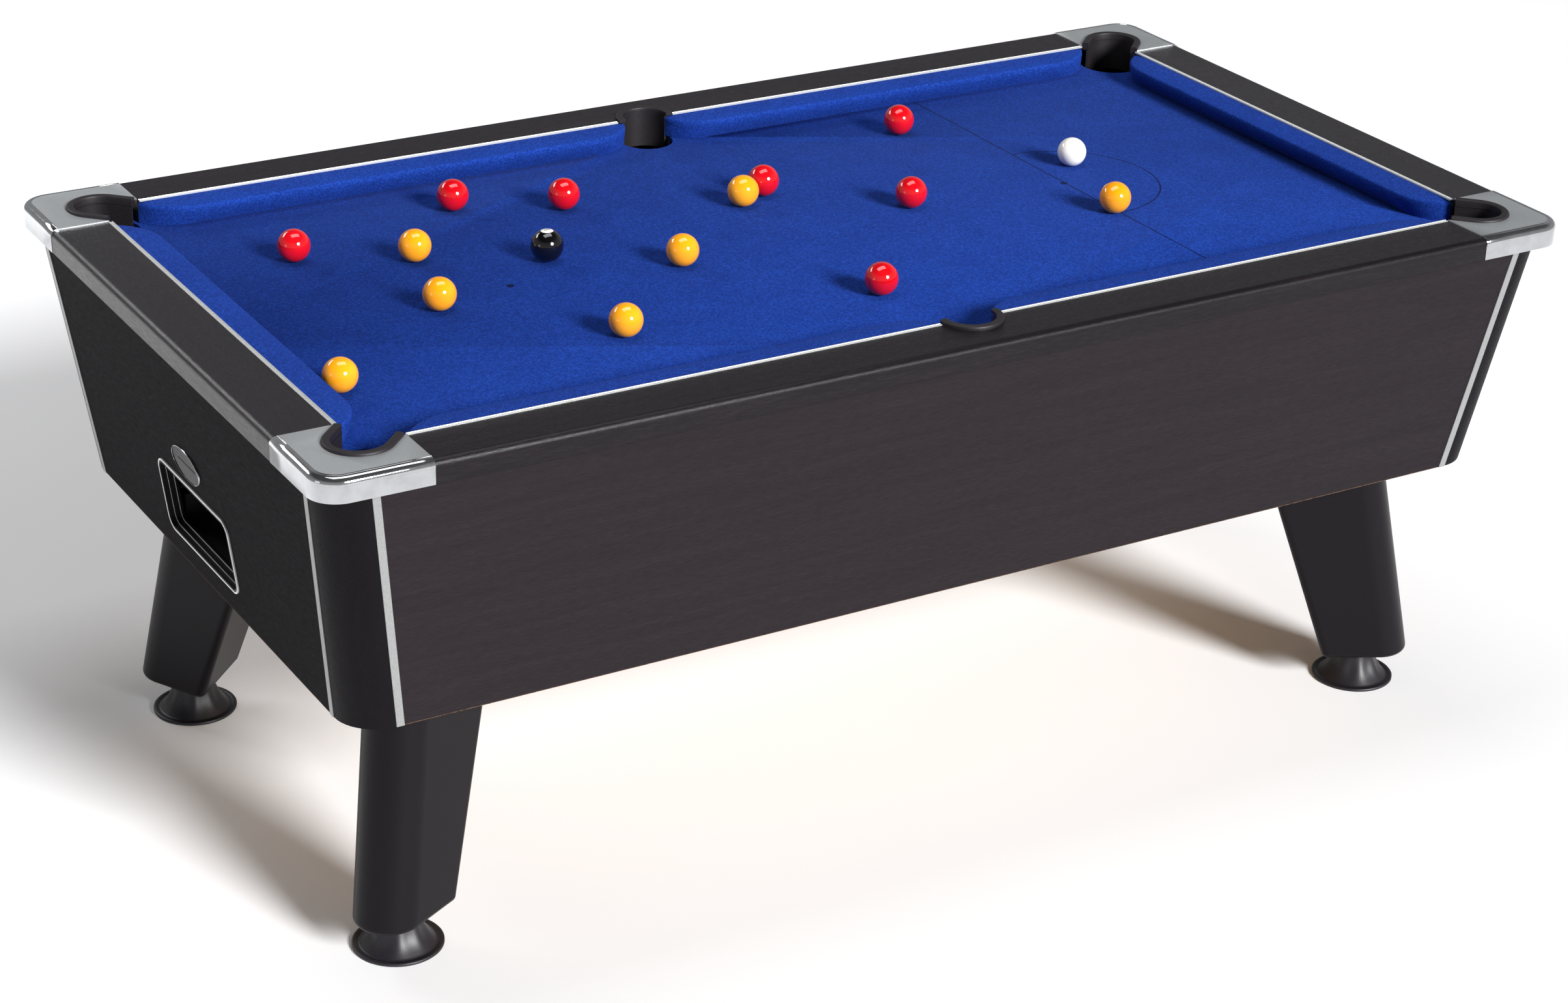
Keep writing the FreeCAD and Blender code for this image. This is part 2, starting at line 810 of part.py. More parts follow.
def leg():
    wires = [legWire(legBackBottom, legBottom), legWire(legBackTop, cabinetBottom)]
    solid = Part.makeLoft(wires, True, True)
    low = [e for e in solid.Edges if e.BoundBox.ZMax < legBottom + 0.01]
    solid = solid.makeFillet(legEdgeRound, low)
    solid = solid.cut(cylinder(footX, footY, legBottom - 1, legBottom + insertLength, insertRadius))
    solid = solid.cut(cylinder(footX, footY, legBottom, legBottom + studBoreDeep, studBoreRadius))
    for bolt in boltPlaces():
        low = cabinetBottom - boltReach
        solid = solid.cut(cylinder(bolt.x, bolt.y, low, cabinetBottom + 1, boltRadius))
    return solid


def legFixings():
    insert = cylinder(footX, footY, legBottom, legBottom + insertLength, insertRadius)
    insert = insert.cut(cylinder(footX, footY, 0, cabinetBottom, studRadius + studClearance))
    pieces = [insert]
    for bolt in boltPlaces():
        shank = cylinder(bolt.x, bolt.y, cabinetBottom - boltReach, floorTop, boltRadius)
        head = cylinder(bolt.x, bolt.y, floorTop, floorTop + boltHeadHeight, boltHeadRadius)
        pieces.append(shank.fuse(head).removeSplitter())
    return Part.makeCompound([mirrored(p, signX, signY) for signX, signY in quarters for p in pieces])


def levellingFoot():
    top = legBottom - footGap
    slope = footRadius - footRimWidth
    points = [
        Vector(0, 0, 0),
        Vector(footRadius, 0, 0),
        Vector(footRadius, 0, footRim),
        Vector(slope, 0, footRim),
        Vector(footNeckRadius, 0, top - footNeckDrop),
        Vector(footTopRadius, 0, top),
        Vector(studRadius, 0, top),
        Vector(studRadius, 0, legBottom + studReach),
        Vector(0, 0, legBottom + studReach),
    ]
    foot = polygonFace(points).revolve(Vector(0, 0, 0), Vector(0, 0, 1), 360)
    return turned(foot, 0, Vector(footX, footY, 0))


# Balls


def ball(place, radius):
    return Part.makeSphere(radius, Vector(place[0], place[1], bedTop + ballGap + radius))


def saveAll():
    save("rail_rear", sideRail())
    save("rail_front", mirrored(sideRail(), 1, -1))
    save("rail_right", endRail())
    save("rail_left", mirrored(endRail(), -1, 1))
    for signX, signY in quarters:
        name = quarterName(signX, signY)
        save("corner_cap_" + name, mirrored(cornerCap(), signX, signY))
        save("pocket_collar_" + name, mirrored(cornerCollar(), signX, signY))
        save("cushion_" + name, mirrored(sideCushion(), signX, signY))
        save("leg_" + name, mirrored(leg(), signX, signY))
        save("levelling_foot_" + name, mirrored(levellingFoot(), signX, signY))
    save("pocket_collar_rear_middle", middleCollar())
    save("pocket_collar_front_middle", mirrored(middleCollar(), 1, -1))
    save("cushion_right", endCushion())
    save("cushion_left", mirrored(endCushion(), -1, 1))
    save("cloth_trims", clothTrims())
    save("slate_bed", bedSheet(slateBottom, slateThick))
    save("bed_cloth", bedSheet(slateTop, clothThick))
    save("side_panel_rear", sidePanel())
    save("side_panel_front", mirrored(sidePanel(), 1, -1))
    save("end_panel_right", endPanel())
    save("end_panel_left", returnPanel())
    save("corner_posts", cornerPosts())
    save("joint_strips", jointStrips())
    save("cabinet_floor", cabinetFloor())
    save("slate_bearers", slateBearers())
    save("ball_runs", ballRuns())
    save("return_tray", returnTray())
    save("return_surround", returnSurround())
    save("badge_plate", badgePlate())
    save("leg_fixings", legFixings())
    for index, place in enumerate(redBalls):
        save("red_ball_" + str(index + 1), ball(place, ballRadius))
    for index, place in enumerate(yellowBalls):
        save("yellow_ball_" + str(index + 1), ball(place, ballRadius))
    save("black_ball", ball(blackBall, ballRadius))
    save("cue_ball", ball(cueBall, cueBallRadius))


saveAll()
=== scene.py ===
import bpy
import bmesh
import math
from mathutils import Matrix, Vector


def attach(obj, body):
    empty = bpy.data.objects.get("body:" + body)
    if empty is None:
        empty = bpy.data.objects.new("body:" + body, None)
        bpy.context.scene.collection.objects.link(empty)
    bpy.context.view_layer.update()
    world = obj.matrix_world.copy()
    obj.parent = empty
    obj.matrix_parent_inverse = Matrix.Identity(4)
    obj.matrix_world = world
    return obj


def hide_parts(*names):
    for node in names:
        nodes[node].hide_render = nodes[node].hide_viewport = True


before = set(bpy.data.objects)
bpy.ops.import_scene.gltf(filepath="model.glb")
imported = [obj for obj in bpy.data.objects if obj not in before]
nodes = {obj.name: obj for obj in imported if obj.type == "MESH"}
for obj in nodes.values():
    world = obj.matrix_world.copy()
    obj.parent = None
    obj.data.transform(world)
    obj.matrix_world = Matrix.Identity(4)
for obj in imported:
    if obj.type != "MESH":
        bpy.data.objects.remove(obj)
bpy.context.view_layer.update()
print("frame loaded,", len(nodes), "pieces")

mm = 0.001  # pieces are drawn in millimetres and scaled at the end
merge = 0.01  # mm, points closer than this are one
diagonal = math.sqrt(0.5)
corners = (("front_left", -1, -1), ("front_right", 1, -1), ("rear_left", -1, 1), ("rear_right", 1, 1))

# Lines that several pieces share
table = {
    "faceX": 957.0, "faceY": 498.0,  # rails' inner faces
    "capX": 1052.0, "capY": 593.0,
    "seamX": 888.0, "seamY": 429.0,
    "bedTop": 808.0,
    "pocketX": 952.0, "pocketY": 493.0,
    "cabinetBottom": 425.0,
    "bottomHalfX": 986.0, "bottomHalfY": 518.5,
    "lean": (50.5, 59.0, 386.0),
}


def linearHex(code):
    # sRGB hex to the linear colour that nodes expect
    values = [int(code[i:i + 2], 16) / 255 for i in (0, 2, 4)]
    return (*[c / 12.92 if c <= 0.04045 else ((c + 0.055) / 1.055) ** 2.4 for c in values], 1.0)


# Nodes and finishes


def feed(tree, node, inputs):
    # Links each socket it is given and sets each plain value
    for name, value in inputs.items():
        if isinstance(value, bpy.types.NodeSocket):
            tree.links.new(value, node.inputs[name])
        else:
            node.inputs[name].default_value = value


def addNode(tree, kind, inputs, out=0, stops=(), **settings):
    # Adds a node with its settings and links and gives back one output; stops are a ramp's places and colours
    made = tree.nodes.new("ShaderNode" + kind)
    for name, value in settings.items():
        setattr(made, name, value)
    if stops:
        points = made.color_ramp.elements
        while len(points) < len(stops):
            points.new(0.5)
        for point, (position, code) in zip(points, stops):
            point.position = position
            point.color = linearHex(code)
    feed(tree, made, inputs)
    return made.outputs[out]


def startMaterial(name, **shaderValues):
    material = bpy.data.materials.new(name)
    material.use_nodes = True
    tree = material.node_tree
    shader = tree.nodes["Principled BSDF"]
    feed(tree, shader, {key.replace("_", " "): value for key, value in shaderValues.items()})
    return material, tree, shader, addNode(tree, "TexCoord", {}, out="Object")


napped = {
    "deep": "112A70", "mid": "153381", "light": "1C409A", "sheen": "7C97E8",
    "fleck": 3.2,  # mm, coarser than the real nap so that it shows
    "fibre": 0.7,
    "cloud": 90.0, "fleckShare": 0.9,
    "line": "080C1C", "lineWidth": 2.4, "lineCover": 0.9,
    "baulkX": 510.0, "dRadius": 155.0, "spots": ((508.0, 0.0), (-492.0, 0.0)), "spotRadius": 6.0,
}


def wornWoolCloth(name, marked):
    # Napped wool and nylon: matt, with a soft sheen at low angles and a fine mottle of fibre ends
    material, tree, shader, place = startMaterial(
        name, Roughness=0.92, Specular_IOR_Level=0.06,
        Sheen_Weight=0.03, Sheen_Roughness=0.5, Sheen_Tint=linearHex(napped["sheen"]),
    )
    fleck = addNode(tree, "TexNoise", {
        "Vector": place, "Scale": 1000 / napped["fleck"], "Detail": 3.0, "Roughness": 0.7,
    })
    fibre = addNode(tree, "TexNoise", {"Vector": place, "Scale": 1000 / napped["fibre"], "Detail": 2.0})
    cloud = addNode(tree, "TexNoise", {"Vector": place, "Scale": 1000 / napped["cloud"], "Detail": 2.0})
    share = napped["fleckShare"]
    fleck = addNode(tree, "Math", {0: fleck, 1: share}, operation="MULTIPLY")
    cloud = addNode(tree, "Math", {0: cloud, 1: 1 - share}, operation="MULTIPLY")
    grain = addNode(tree, "Math", {0: fleck, 1: cloud}, operation="ADD")
    tones = ((0.38, napped["deep"]), (0.5, napped["mid"]), (0.62, napped["light"]))
    colour = addNode(tree, "ValToRGB", {"Fac": grain}, stops=tones)
    if marked:
        colour = clothMarks(tree, place, colour)
    bump = addNode(tree, "Bump", {"Height": fibre, "Strength": 0.35, "Distance": 0.6 * mm})
    feed(tree, shader, {"Base Color": colour, "Normal": bump})
    return material


def clothMarks(tree, place, colour):
    # Baulk line, D and spots drawn in fine dark line
    axes = addNode(tree, "SeparateXYZ", {0: place}).node.outputs
    flat = addNode(tree, "CombineXYZ", {0: axes[0], 1: axes[1], 2: 0.0})
    baulk = napped["baulkX"] * mm
    half = napped["lineWidth"] * mm / 2
    offLine = addNode(tree, "Math", {0: axes[0], 1: baulk}, operation="SUBTRACT")
    offLine = addNode(tree, "Math", {0: offLine, 1: 0.0}, operation="ABSOLUTE")
    mask = addNode(tree, "Math", {0: offLine, 1: half}, operation="LESS_THAN")
    away = addNode(tree, "VectorMath", {0: flat, 1: (baulk, 0, 0)}, out="Value", operation="DISTANCE")
    offRing = addNode(tree, "Math", {0: away, 1: napped["dRadius"] * mm}, operation="SUBTRACT")
    offRing = addNode(tree, "Math", {0: offRing, 1: 0.0}, operation="ABSOLUTE")
    ring = addNode(tree, "Math", {0: offRing, 1: half}, operation="LESS_THAN")
    behind = addNode(tree, "Math", {0: axes[0], 1: baulk}, operation="GREATER_THAN")
    marks = [addNode(tree, "Math", {0: ring, 1: behind}, operation="MULTIPLY")]
    for spotX, spotY in napped["spots"]:
        middle = (spotX * mm, spotY * mm, 0)
        away = addNode(tree, "VectorMath", {0: flat, 1: middle}, out="Value", operation="DISTANCE")
        marks.append(addNode(tree, "Math", {0: away, 1: napped["spotRadius"] * mm}, operation="LESS_THAN"))
    for mark in marks:
        mask = addNode(tree, "Math", {0: mask, 1: mark}, operation="MAXIMUM")
    mask = addNode(tree, "Math", {0: mask, 1: napped["lineCover"]}, operation="MULTIPLY")
    line = linearHex(napped["line"])
    return addNode(tree, "Mix", {0: mask, 6: colour, 7: line}, out=2, data_type="RGBA")


ash = {
    "panelTones": ("1B1619", "201B1E", "272225"),
    # Painted shade: the end panels and corner posts are the same laminate as the sides, drawn in darker tones
    # because they stand away from the key light
    "paintedShadeEndTones": ("080609", "0C090D", "120F13"),
    "railTones": ("0D0A0D", "161216", "262126"),
    "toneStops": (0.33, 0.52, 0.72),
    "pore": 1.0, "poreLength": 16.0,  # mm, ash pores across and along the grain, coarser than real so that they show
    "figure": 16.0, "figureLength": 320.0, "poreShare": 0.7,
    "bareBelow": 426.0, "crumb": 2.857, "crumbTones": ((0.35, "3A2C24"), (0.65, "6E5644")),
}


def blackAsh(name, grain, tones, gloss, roughness, bareEdge=False):
    # Black-stained ash foil: low satin, open pores as short dark dashes, faint lighter figure
    material, tree, shader, place = startMaterial(name, Roughness=roughness, Specular_IOR_Level=gloss)

    def grainPattern(across, length, **noise):
        size = [1000 / across] * 3
        size["XYZ".index(grain)] = 1000 / length
        stretched = addNode(tree, "Mapping", {"Vector": place, "Scale": size})
        return addNode(tree, "TexNoise", {"Vector": stretched, "Scale": 1.0, **noise})

    pores = grainPattern(ash["pore"], ash["poreLength"], Detail=3.0, Roughness=0.65)
    figure = grainPattern(ash["figure"], ash["figureLength"], Detail=4.0, Distortion=0.6)
    share = ash["poreShare"]
    dark = addNode(tree, "Math", {0: pores, 1: share}, operation="MULTIPLY")
    faint = addNode(tree, "Math", {0: figure, 1: 1 - share}, operation="MULTIPLY")
    mixed = addNode(tree, "Math", {0: dark, 1: faint}, operation="ADD")
    colour = addNode(tree, "ValToRGB", {"Fac": mixed}, stops=tuple(zip(ash["toneStops"], tones)))
    if bareEdge:
        # The board's lower edge is unfaced chipboard
        height = addNode(tree, "SeparateXYZ", {0: place}, out=2)
        bare = addNode(tree, "Math", {0: height, 1: ash["bareBelow"] * mm}, operation="LESS_THAN")
        crumb = addNode(tree, "TexNoise", {"Vector": place, "Scale": 1000 / ash["crumb"], "Detail": 3.0})
        board = addNode(tree, "ValToRGB", {"Fac": crumb}, stops=ash["crumbTones"])
        colour = addNode(tree, "Mix", {0: bare, 6: colour, 7: board}, out=2, data_type="RGBA")
    rough = addNode(tree, "MapRange", {
        "Value": pores, "From Min": 0.3, "From Max": 0.7, "To Min": roughness + 0.12, "To Max": roughness - 0.06,
    })
    bump = addNode(tree, "Bump", {"Height": pores, "Strength": 0.5, "Distance": 0.5 * mm})
    feed(tree, shader, {"Base Color": colour, "Roughness": rough, "Normal": bump})
    return material


def mottled(name, tones, size, detail=3.0, fine=0.5, stops=(0.3, 0.7), relief=None, haze=None, **shaderValues):
    # Two tones that follow one noise, its size in mm; relief is a bump's strength and depth in mm, and haze
    # the roughness range. Grains finer than a millimetre or so are drawn coarser than real, so that they show.
    material, tree, shader, place = startMaterial(name, **shaderValues)
    noise = addNode(tree, "TexNoise", {
        "Vector": place, "Scale": 1000 / size, "Detail": detail, "Roughness": fine,
    })
    feed(tree, shader, {"Base Color": addNode(tree, "ValToRGB", {"Fac": noise}, stops=tuple(zip(stops, tones)))})
    if relief:
        bump = addNode(tree, "Bump", {"Height": noise, "Strength": relief[0], "Distance": relief[1] * mm})
        feed(tree, shader, {"Normal": bump})
    if haze:
        rough = addNode(tree, "MapRange", {
            "Value": noise, "From Min": 0.3, "From Max": 0.7, "To Min": haze[0], "To Max": haze[1],
        })
        feed(tree, shader, {"Roughness": rough})
    return material


powder = {"tones": ((0.3, "0D0B0E"), (0.7, "161218")), "speck": 1.111, "peel": 2.381}


def powderCoatBlack():
    # Powder coat on steel: smooth satin black with a faint orange peel
    material, tree, shader, place = startMaterial("powderCoatBlack", Roughness=0.36, Specular_IOR_Level=0.14)
    peel = addNode(tree, "TexNoise", {"Vector": place, "Scale": 1000 / powder["peel"], "Detail": 2.0})
    speck = addNode(tree, "TexNoise", {
        "Vector": place, "Scale": 1000 / powder["speck"], "Detail": 4.0, "Roughness": 0.8,
    })
    colour = addNode(tree, "ValToRGB", {"Fac": speck}, stops=powder["tones"])
    bump = addNode(tree, "Bump", {"Height": peel, "Strength": 0.12, "Distance": 0.3 * mm})
    feed(tree, shader, {"Base Color": colour, "Normal": bump})
    return material


pine = {"tones": ((0.35, "8F6A3E"), (0.6, "C7A06A")), "ring": 16.67, "ringLength": 250.0}


def planedPine():
    # Planed softwood: pale, with straight darker rings along the length
    material, tree, shader, place = startMaterial("planedPine", Roughness=0.6)
    size = (1000 / pine["ring"], 1000 / pine["ringLength"], 1000 / pine["ring"])
    stretched = addNode(tree, "Mapping", {"Vector": place, "Scale": size})
    rings = addNode(tree, "TexNoise", {"Vector": stretched, "Scale": 1.0, "Detail": 4.0})
    colour = addNode(tree, "ValToRGB", {"Fac": rings}, stops=pine["tones"])
    bump = addNode(tree, "Bump", {"Height": rings, "Strength": 0.15, "Distance": 0.5 * mm})
    feed(tree, shader, {"Base Color": colour, "Normal": bump})
    return material


chipboard = {"tones": ((0.2, "7E5E3C"), (0.8, "B99565")), "flake": 3.846}


def facedChipboard():
    # Chipboard: pressed wood flakes, matt tan
    material, tree, shader, place = startMaterial("facedChipboard", Roughness=0.7)
    flakes = addNode(tree, "TexVoronoi", {"Vector": place, "Scale": 1000 / chipboard["flake"]}, feature="F1")
    flakes = flakes.node.outputs
    colour = addNode(tree, "ValToRGB", {"Fac": flakes["Color"]}, stops=chipboard["tones"])
    bump = addNode(tree, "Bump", {"Height": flakes["Distance"], "Strength": 0.1, "Distance": 0.5 * mm})
    feed(tree, shader, {"Base Color": colour, "Normal": bump})
    return material


def phenolicBall(name, dark, light):
    # Cast phenolic resin, polished: deep even colour under a hard gloss
    return mottled(
        name, (dark, light), 45.45, detail=1.0,
        Roughness=0.08, IOR=1.6, Coat_Weight=0.3, Coat_Roughness=0.03,
    )


eightPatch = {
    "x": -398.0, "y": 66.0, "z": 833.7, "radius": 9.6, "loop": 1.9, "stroke": 0.55, "white": "F1EFE8",
}


def numberedBlackBall():
    # Black ball with a white disc on top and a figure made of two loops
    material = phenolicBall("polishedPhenolicBlack", "070709", "0C0C10")
    tree = material.node_tree
    shader = tree.nodes["Principled BSDF"]
    body = shader.inputs["Base Color"].links[0].from_socket
    axes = addNode(tree, "SeparateXYZ", {0: addNode(tree, "TexCoord", {}, out="Object")}).node.outputs
    flat = addNode(tree, "CombineXYZ", {0: axes[0], 1: axes[1], 2: 0.0})

    def ringAround(sideways, radius):
        # How far each point lies from a circle about the disc's middle, less than nothing inside it
        middle = ((eightPatch["x"] + sideways) * mm, eightPatch["y"] * mm, 0)
        away = addNode(tree, "VectorMath", {0: flat, 1: middle}, out="Value", operation="DISTANCE")
        return addNode(tree, "Math", {0: away, 1: radius * mm}, operation="SUBTRACT")

    disc = addNode(tree, "Math", {0: ringAround(0, eightPatch["radius"]), 1: 0.0}, operation="LESS_THAN")
    above = addNode(tree, "Math", {0: axes[2], 1: eightPatch["z"] * mm}, operation="GREATER_THAN")
    disc = addNode(tree, "Math", {0: disc, 1: above}, operation="MULTIPLY")
    loops = []
    for side in (-1, 1):
        off = ringAround(side * eightPatch["loop"], eightPatch["loop"])
        off = addNode(tree, "Math", {0: off, 1: 0.0}, operation="ABSOLUTE")
        loops.append(addNode(tree, "Math", {0: off, 1: eightPatch["stroke"] * mm}, operation="LESS_THAN"))
    figure = addNode(tree, "Math", {0: loops[0], 1: loops[1]}, operation="MAXIMUM")
    around = addNode(tree, "Math", {0: 1.0, 1: figure}, operation="SUBTRACT")
    mask = addNode(tree, "Math", {0: disc, 1: around}, operation="MULTIPLY")
    white = linearHex(eightPatch["white"])
    feed(tree, shader, {
        "Base Color": addNode(tree, "Mix", {0: mask, 6: body, 7: white}, out=2, data_type="RGBA"),
    })
    return material


finish = {
    "bedCloth": wornWoolCloth("nappedWoolBedCloth", True),
    "cushionCloth": wornWoolCloth("nappedWoolCushionCloth", False),
    "railAlong": blackAsh("blackAshFoilAlong", "X", ash["railTones"], 0.2, 0.3),
    "railAcross": blackAsh("blackAshFoilAcross", "Y", ash["railTones"], 0.45, 0.3),
    "sidePanel": blackAsh("blackAshLaminateSide", "X", ash["panelTones"], 0.12, 0.58, bareEdge=True),
    # The end panels and corner posts take the darker tones: painted shade on the same laminate as the sides
    "endPanel": blackAsh("blackAshLaminateEndPaintedShade", "Y", ash["paintedShadeEndTones"], 0.04, 0.62, bareEdge=True),
    "post": blackAsh("blackAshLaminatePostPaintedShade", "Z", ash["paintedShadeEndTones"], 0.1, 0.5),
    "casting": mottled(  # cast zinc, fine-sanded and lacquered: even grey satin
        "satinZincCasting", ("C0C4C6", "CFD3D5"), 1.111, relief=(0.08, 0.3), Metallic=0.85, Roughness=0.48,
    ),
    "chrome": mottled(  # bright chrome plate: mirror with a trace of polishing haze
        "polishedChrome", ("BEC0C2", "CCCED0"), 16.67, detail=4.0, haze=(0.05, 0.1),
        Metallic=0.95, Roughness=0.1,
    ),
    "strip": mottled(  # extruded aluminium, clear anodised: pale satin
        "satinAluminiumChannel", ("CFD2D0", "E2E3E1"), 2.0, detail=2.0, relief=(0.06, 0.2),
        Metallic=0.55, Roughness=0.34,
    ),
    "cover": mottled(  # the same extrusion, dulled: mid grey satin
        "satinAluminiumCover", ("939594", "A3A4A3"), 2.0, detail=2.0, relief=(0.06, 0.2),
        Metallic=0.55, Roughness=0.34,
    ),
    "rubber": mottled(  # carbon-black rubber moulding: dull brown-black, fine spark texture
        "mouldedRubber", ("120F12", "242024"), 1.538, fine=0.6, relief=(0.35, 0.5),
        Roughness=0.5, Specular_IOR_Level=0.4,
    ),
    "leg": powderCoatBlack(),
    "foot": mottled(  # injection-moulded nylon: black, spark-eroded, slightly mottled
        "mouldedNylonFoot", ("131115", "201D23"), 1.6, fine=0.6, relief=(0.25, 0.5),
        Roughness=0.45, IOR=1.5, Specular_IOR_Level=0.5,
    ),
    "run": mottled(  # injection-moulded polypropylene: waxy black
        "mouldedPolypropyleneRun", ("131314", "1E1E20"), 2.0, fine=0.6, relief=(0.25, 0.4),
        Roughness=0.55, IOR=1.5, Specular_IOR_Level=0.5,
    ),
    "surround": mottled(  # injection-moulded ABS: black with a fine even texture
        "mouldedAbsSurround", ("0E0C0E", "171516"), 1.8, fine=0.6, relief=(0.25, 0.3),
        Roughness=0.4, IOR=1.5, Specular_IOR_Level=0.3,
    ),
    "dish": mottled(  # lacquered plastic: near-black gloss, almost without grain
        "glossBlackLacquerDish", ("060608", "0C0C10"), 9.0, fine=0.6, relief=(0.25, 0.05),
        Roughness=0.14, IOR=1.5, Specular_IOR_Level=0.16,
    ),
    "foil": mottled(  # bright foil pressed on plastic edges: thin light line with small nicks
        "brightHotFoil", ("9A9CA0", "FCFCFC"), 3.846, detail=2.0, stops=(0.2, 0.28),
        Metallic=0.2, Roughness=0.3, Specular_IOR_Level=1.0,
    ),
    "slate": mottled(  # machined slate: grey-blue, matt, faint bedding clouds
        "honedSlate", ("33383B", "525A5E"), 40.0, detail=6.0, relief=(0.1, 0.5), Roughness=0.7,
    ),
    "pine": planedPine(),
    "chipboard": facedChipboard(),
    "zinc": mottled(  # zinc plate on steel: cool grey metal with faint blue clouding
        "zincPlatedSteel", ("8E959C", "B5B9BC"), 11.11, Metallic=1.0, Roughness=0.32,
    ),
    "red": phenolicBall("polishedPhenolicRed", "C20A14", "CF0E1A"),
    "yellow": phenolicBall("polishedPhenolicYellow", "F59A12", "F8A61C"),
    "white": phenolicBall("polishedPhenolicWhite", "EEEBE2", "F3F1EA"),
    "black": numberedBlackBall(),
}
print("finishes made,", len(finish))

cadFinish = {
    "rail_front": "railAlong", "rail_rear": "railAlong", "rail_left": "railAcross", "rail_right": "railAcross",
    "side_panel_": "sidePanel", "end_panel_": "endPanel", "corner_posts": "post", "slate_bed": "slate",
    "slate_bearers": "pine", "cabinet_floor": "chipboard", "ball_runs": "run", "return_tray": "run",
    "leg_fixings": "zinc", "leg_front": "leg", "leg_rear": "leg", "red_ball_": "red", "yellow_ball_": "yellow",
    "black_ball": "black", "cue_ball": "white",
}
for nodeName, node in nodes.items():
    for start, key in cadFinish.items():
        if nodeName.startswith(start):
            for slot in node.material_slots:
                slot.material = finish[key]


# Drawing helpers


def only(kind, geom):
    return [g for g in geom if isinstance(g, kind)]


def vertsOf(parts):
    return list({v for part in parts for v in part.verts})


def spinAbout(bm, geom, centre, degrees, steps, **more):
    return bmesh.ops.spin(
        bm, geom=geom, cent=centre, axis=(0, 0, 1), angle=math.radians(degrees), steps=steps, **more,
    )["geom_last"]


def extrudeEdges(bm, edges):
    # Gives back the new vertices and the new edges between them
    made = bmesh.ops.extrude_edge_only(bm, edges=edges)["geom"]
    verts = only(bmesh.types.BMVert, made)
    fresh = set(verts)
    return verts, [e for e in only(bmesh.types.BMEdge, made) if fresh.issuperset(e.verts)]


def drawPath(bm, start, moves):
    # A path in plan from a point: ("to", x, y) is straight, ("turn", x, y, degrees, steps) an arc about a centre
    vert = bm.verts.new(start)
    for move in moves:
        if move[0] == "to":
            made = bmesh.ops.extrude_vert_indiv(bm, verts=[vert])["verts"]
            made[0].co = (move[1], move[2], vert.co.z)
        else:
            turned = spinAbout(bm, [vert], (move[1], move[2], vert.co.z), move[3], move[4])
            made = only(bmesh.types.BMVert, turned)
        vert = made[0]
    return vert


def drawLoop(bm, points):
    verts = [bm.verts.new(p) for p in points]
    return [bm.edges.new((verts[i], verts[(i + 1) % len(verts)])) for i in range(len(verts))]


def drawChain(bm, points):
    verts = [bm.verts.new(p) for p in points]
    return [bm.edges.new((verts[i], verts[i + 1])) for i in range(len(verts) - 1)]


def sweep(bm, edges, moves):
    # Carries a section along: ("slide", vector, steps) or ("turn", x, y, degrees, steps)
    for move in moves:
        if move[0] == "slide":
            step = Vector(move[1]) / move[2]
            for _ in range(move[2]):
                verts, edges = extrudeEdges(bm, edges)
                bmesh.ops.translate(bm, vec=step, verts=verts)
        else:
            turned = spinAbout(bm, vertsOf(edges) + edges, (move[1], move[2], 0), move[3], move[4])
            edges = only(bmesh.types.BMEdge, turned)
    return edges


def closeEnds(bm):
    bmesh.ops.remove_doubles(bm, verts=bm.verts, dist=merge)
    bmesh.ops.holes_fill(bm, edges=[e for e in bm.edges if e.is_boundary])


def finishPiece(bm, name, cadNode, looks, body="table", place=None, sharp=35, recalc=True):
    # Turns the drawing into an object at the origin, in metres, riding on its body in place of a CAD node
    if place is not None:
        bmesh.ops.transform(bm, matrix=place, verts=bm.verts)
    bmesh.ops.scale(bm, vec=(mm, mm, mm), verts=bm.verts)
    if recalc:
        bmesh.ops.recalc_face_normals(bm, faces=bm.faces)
    mesh = bpy.data.meshes.new(name)
    bm.to_mesh(mesh)
    bm.free()
    mesh.shade_smooth()
    mesh.set_sharp_from_angle(angle=math.radians(sharp))
    for look in looks:
        mesh.materials.append(finish[look])
    piece = bpy.data.objects.new(name, mesh)
    bpy.context.scene.collection.objects.link(piece)
    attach(piece, body)
    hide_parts(cadNode)
    return piece


def addModifier(piece, kind, **settings):
    modifier = piece.modifiers.new(kind.lower(), kind)
    for key, value in settings.items():
        setattr(modifier, key, value)


def wallAndEdge(piece, wall, edge, **bevel):
    # Gives a shell its wall, and takes the sharpness off its edges
    addModifier(piece, "SOLIDIFY", thickness=wall * mm, offset=-1.0, use_even_offset=True)
    addModifier(
        piece, "BEVEL", width=edge * mm, segments=2, limit_method="ANGLE", angle_limit=math.radians(60), **bevel,
    )


def flip(signX, signY):
    return Matrix.Diagonal((signX, signY, 1, 1))


# Cushions

cushion = {
    "width": 51.0, "over": 3.0,  # drawn past the rail face, then trimmed to it
    "backTop": 843.5, "crown": 0.9, "noseTop": 841.0, "noseFace": 831.0,
    "noseRound": 4.0, "noseTurns": (0, 22, 45, 67, 90), "crownAt": (0.25, 0.5, 0.75),
    "underNose": ((0.0, 2.5), (0.6, 0.0), (3.2, -6.5)),  # in from the nose, and up from its face
    "heel": (8.5, 8.0), "undercut": 14.0, "lift": 0.3,
    "middlePocket": 38.3, "middleArc": 72.0, "cornerArc": 95.0,
    "arcPast": 3.0,  # degrees that an end runs past the rail face
    "straightSteps": 24, "arcSteps": 16, "sharp": 50,
}


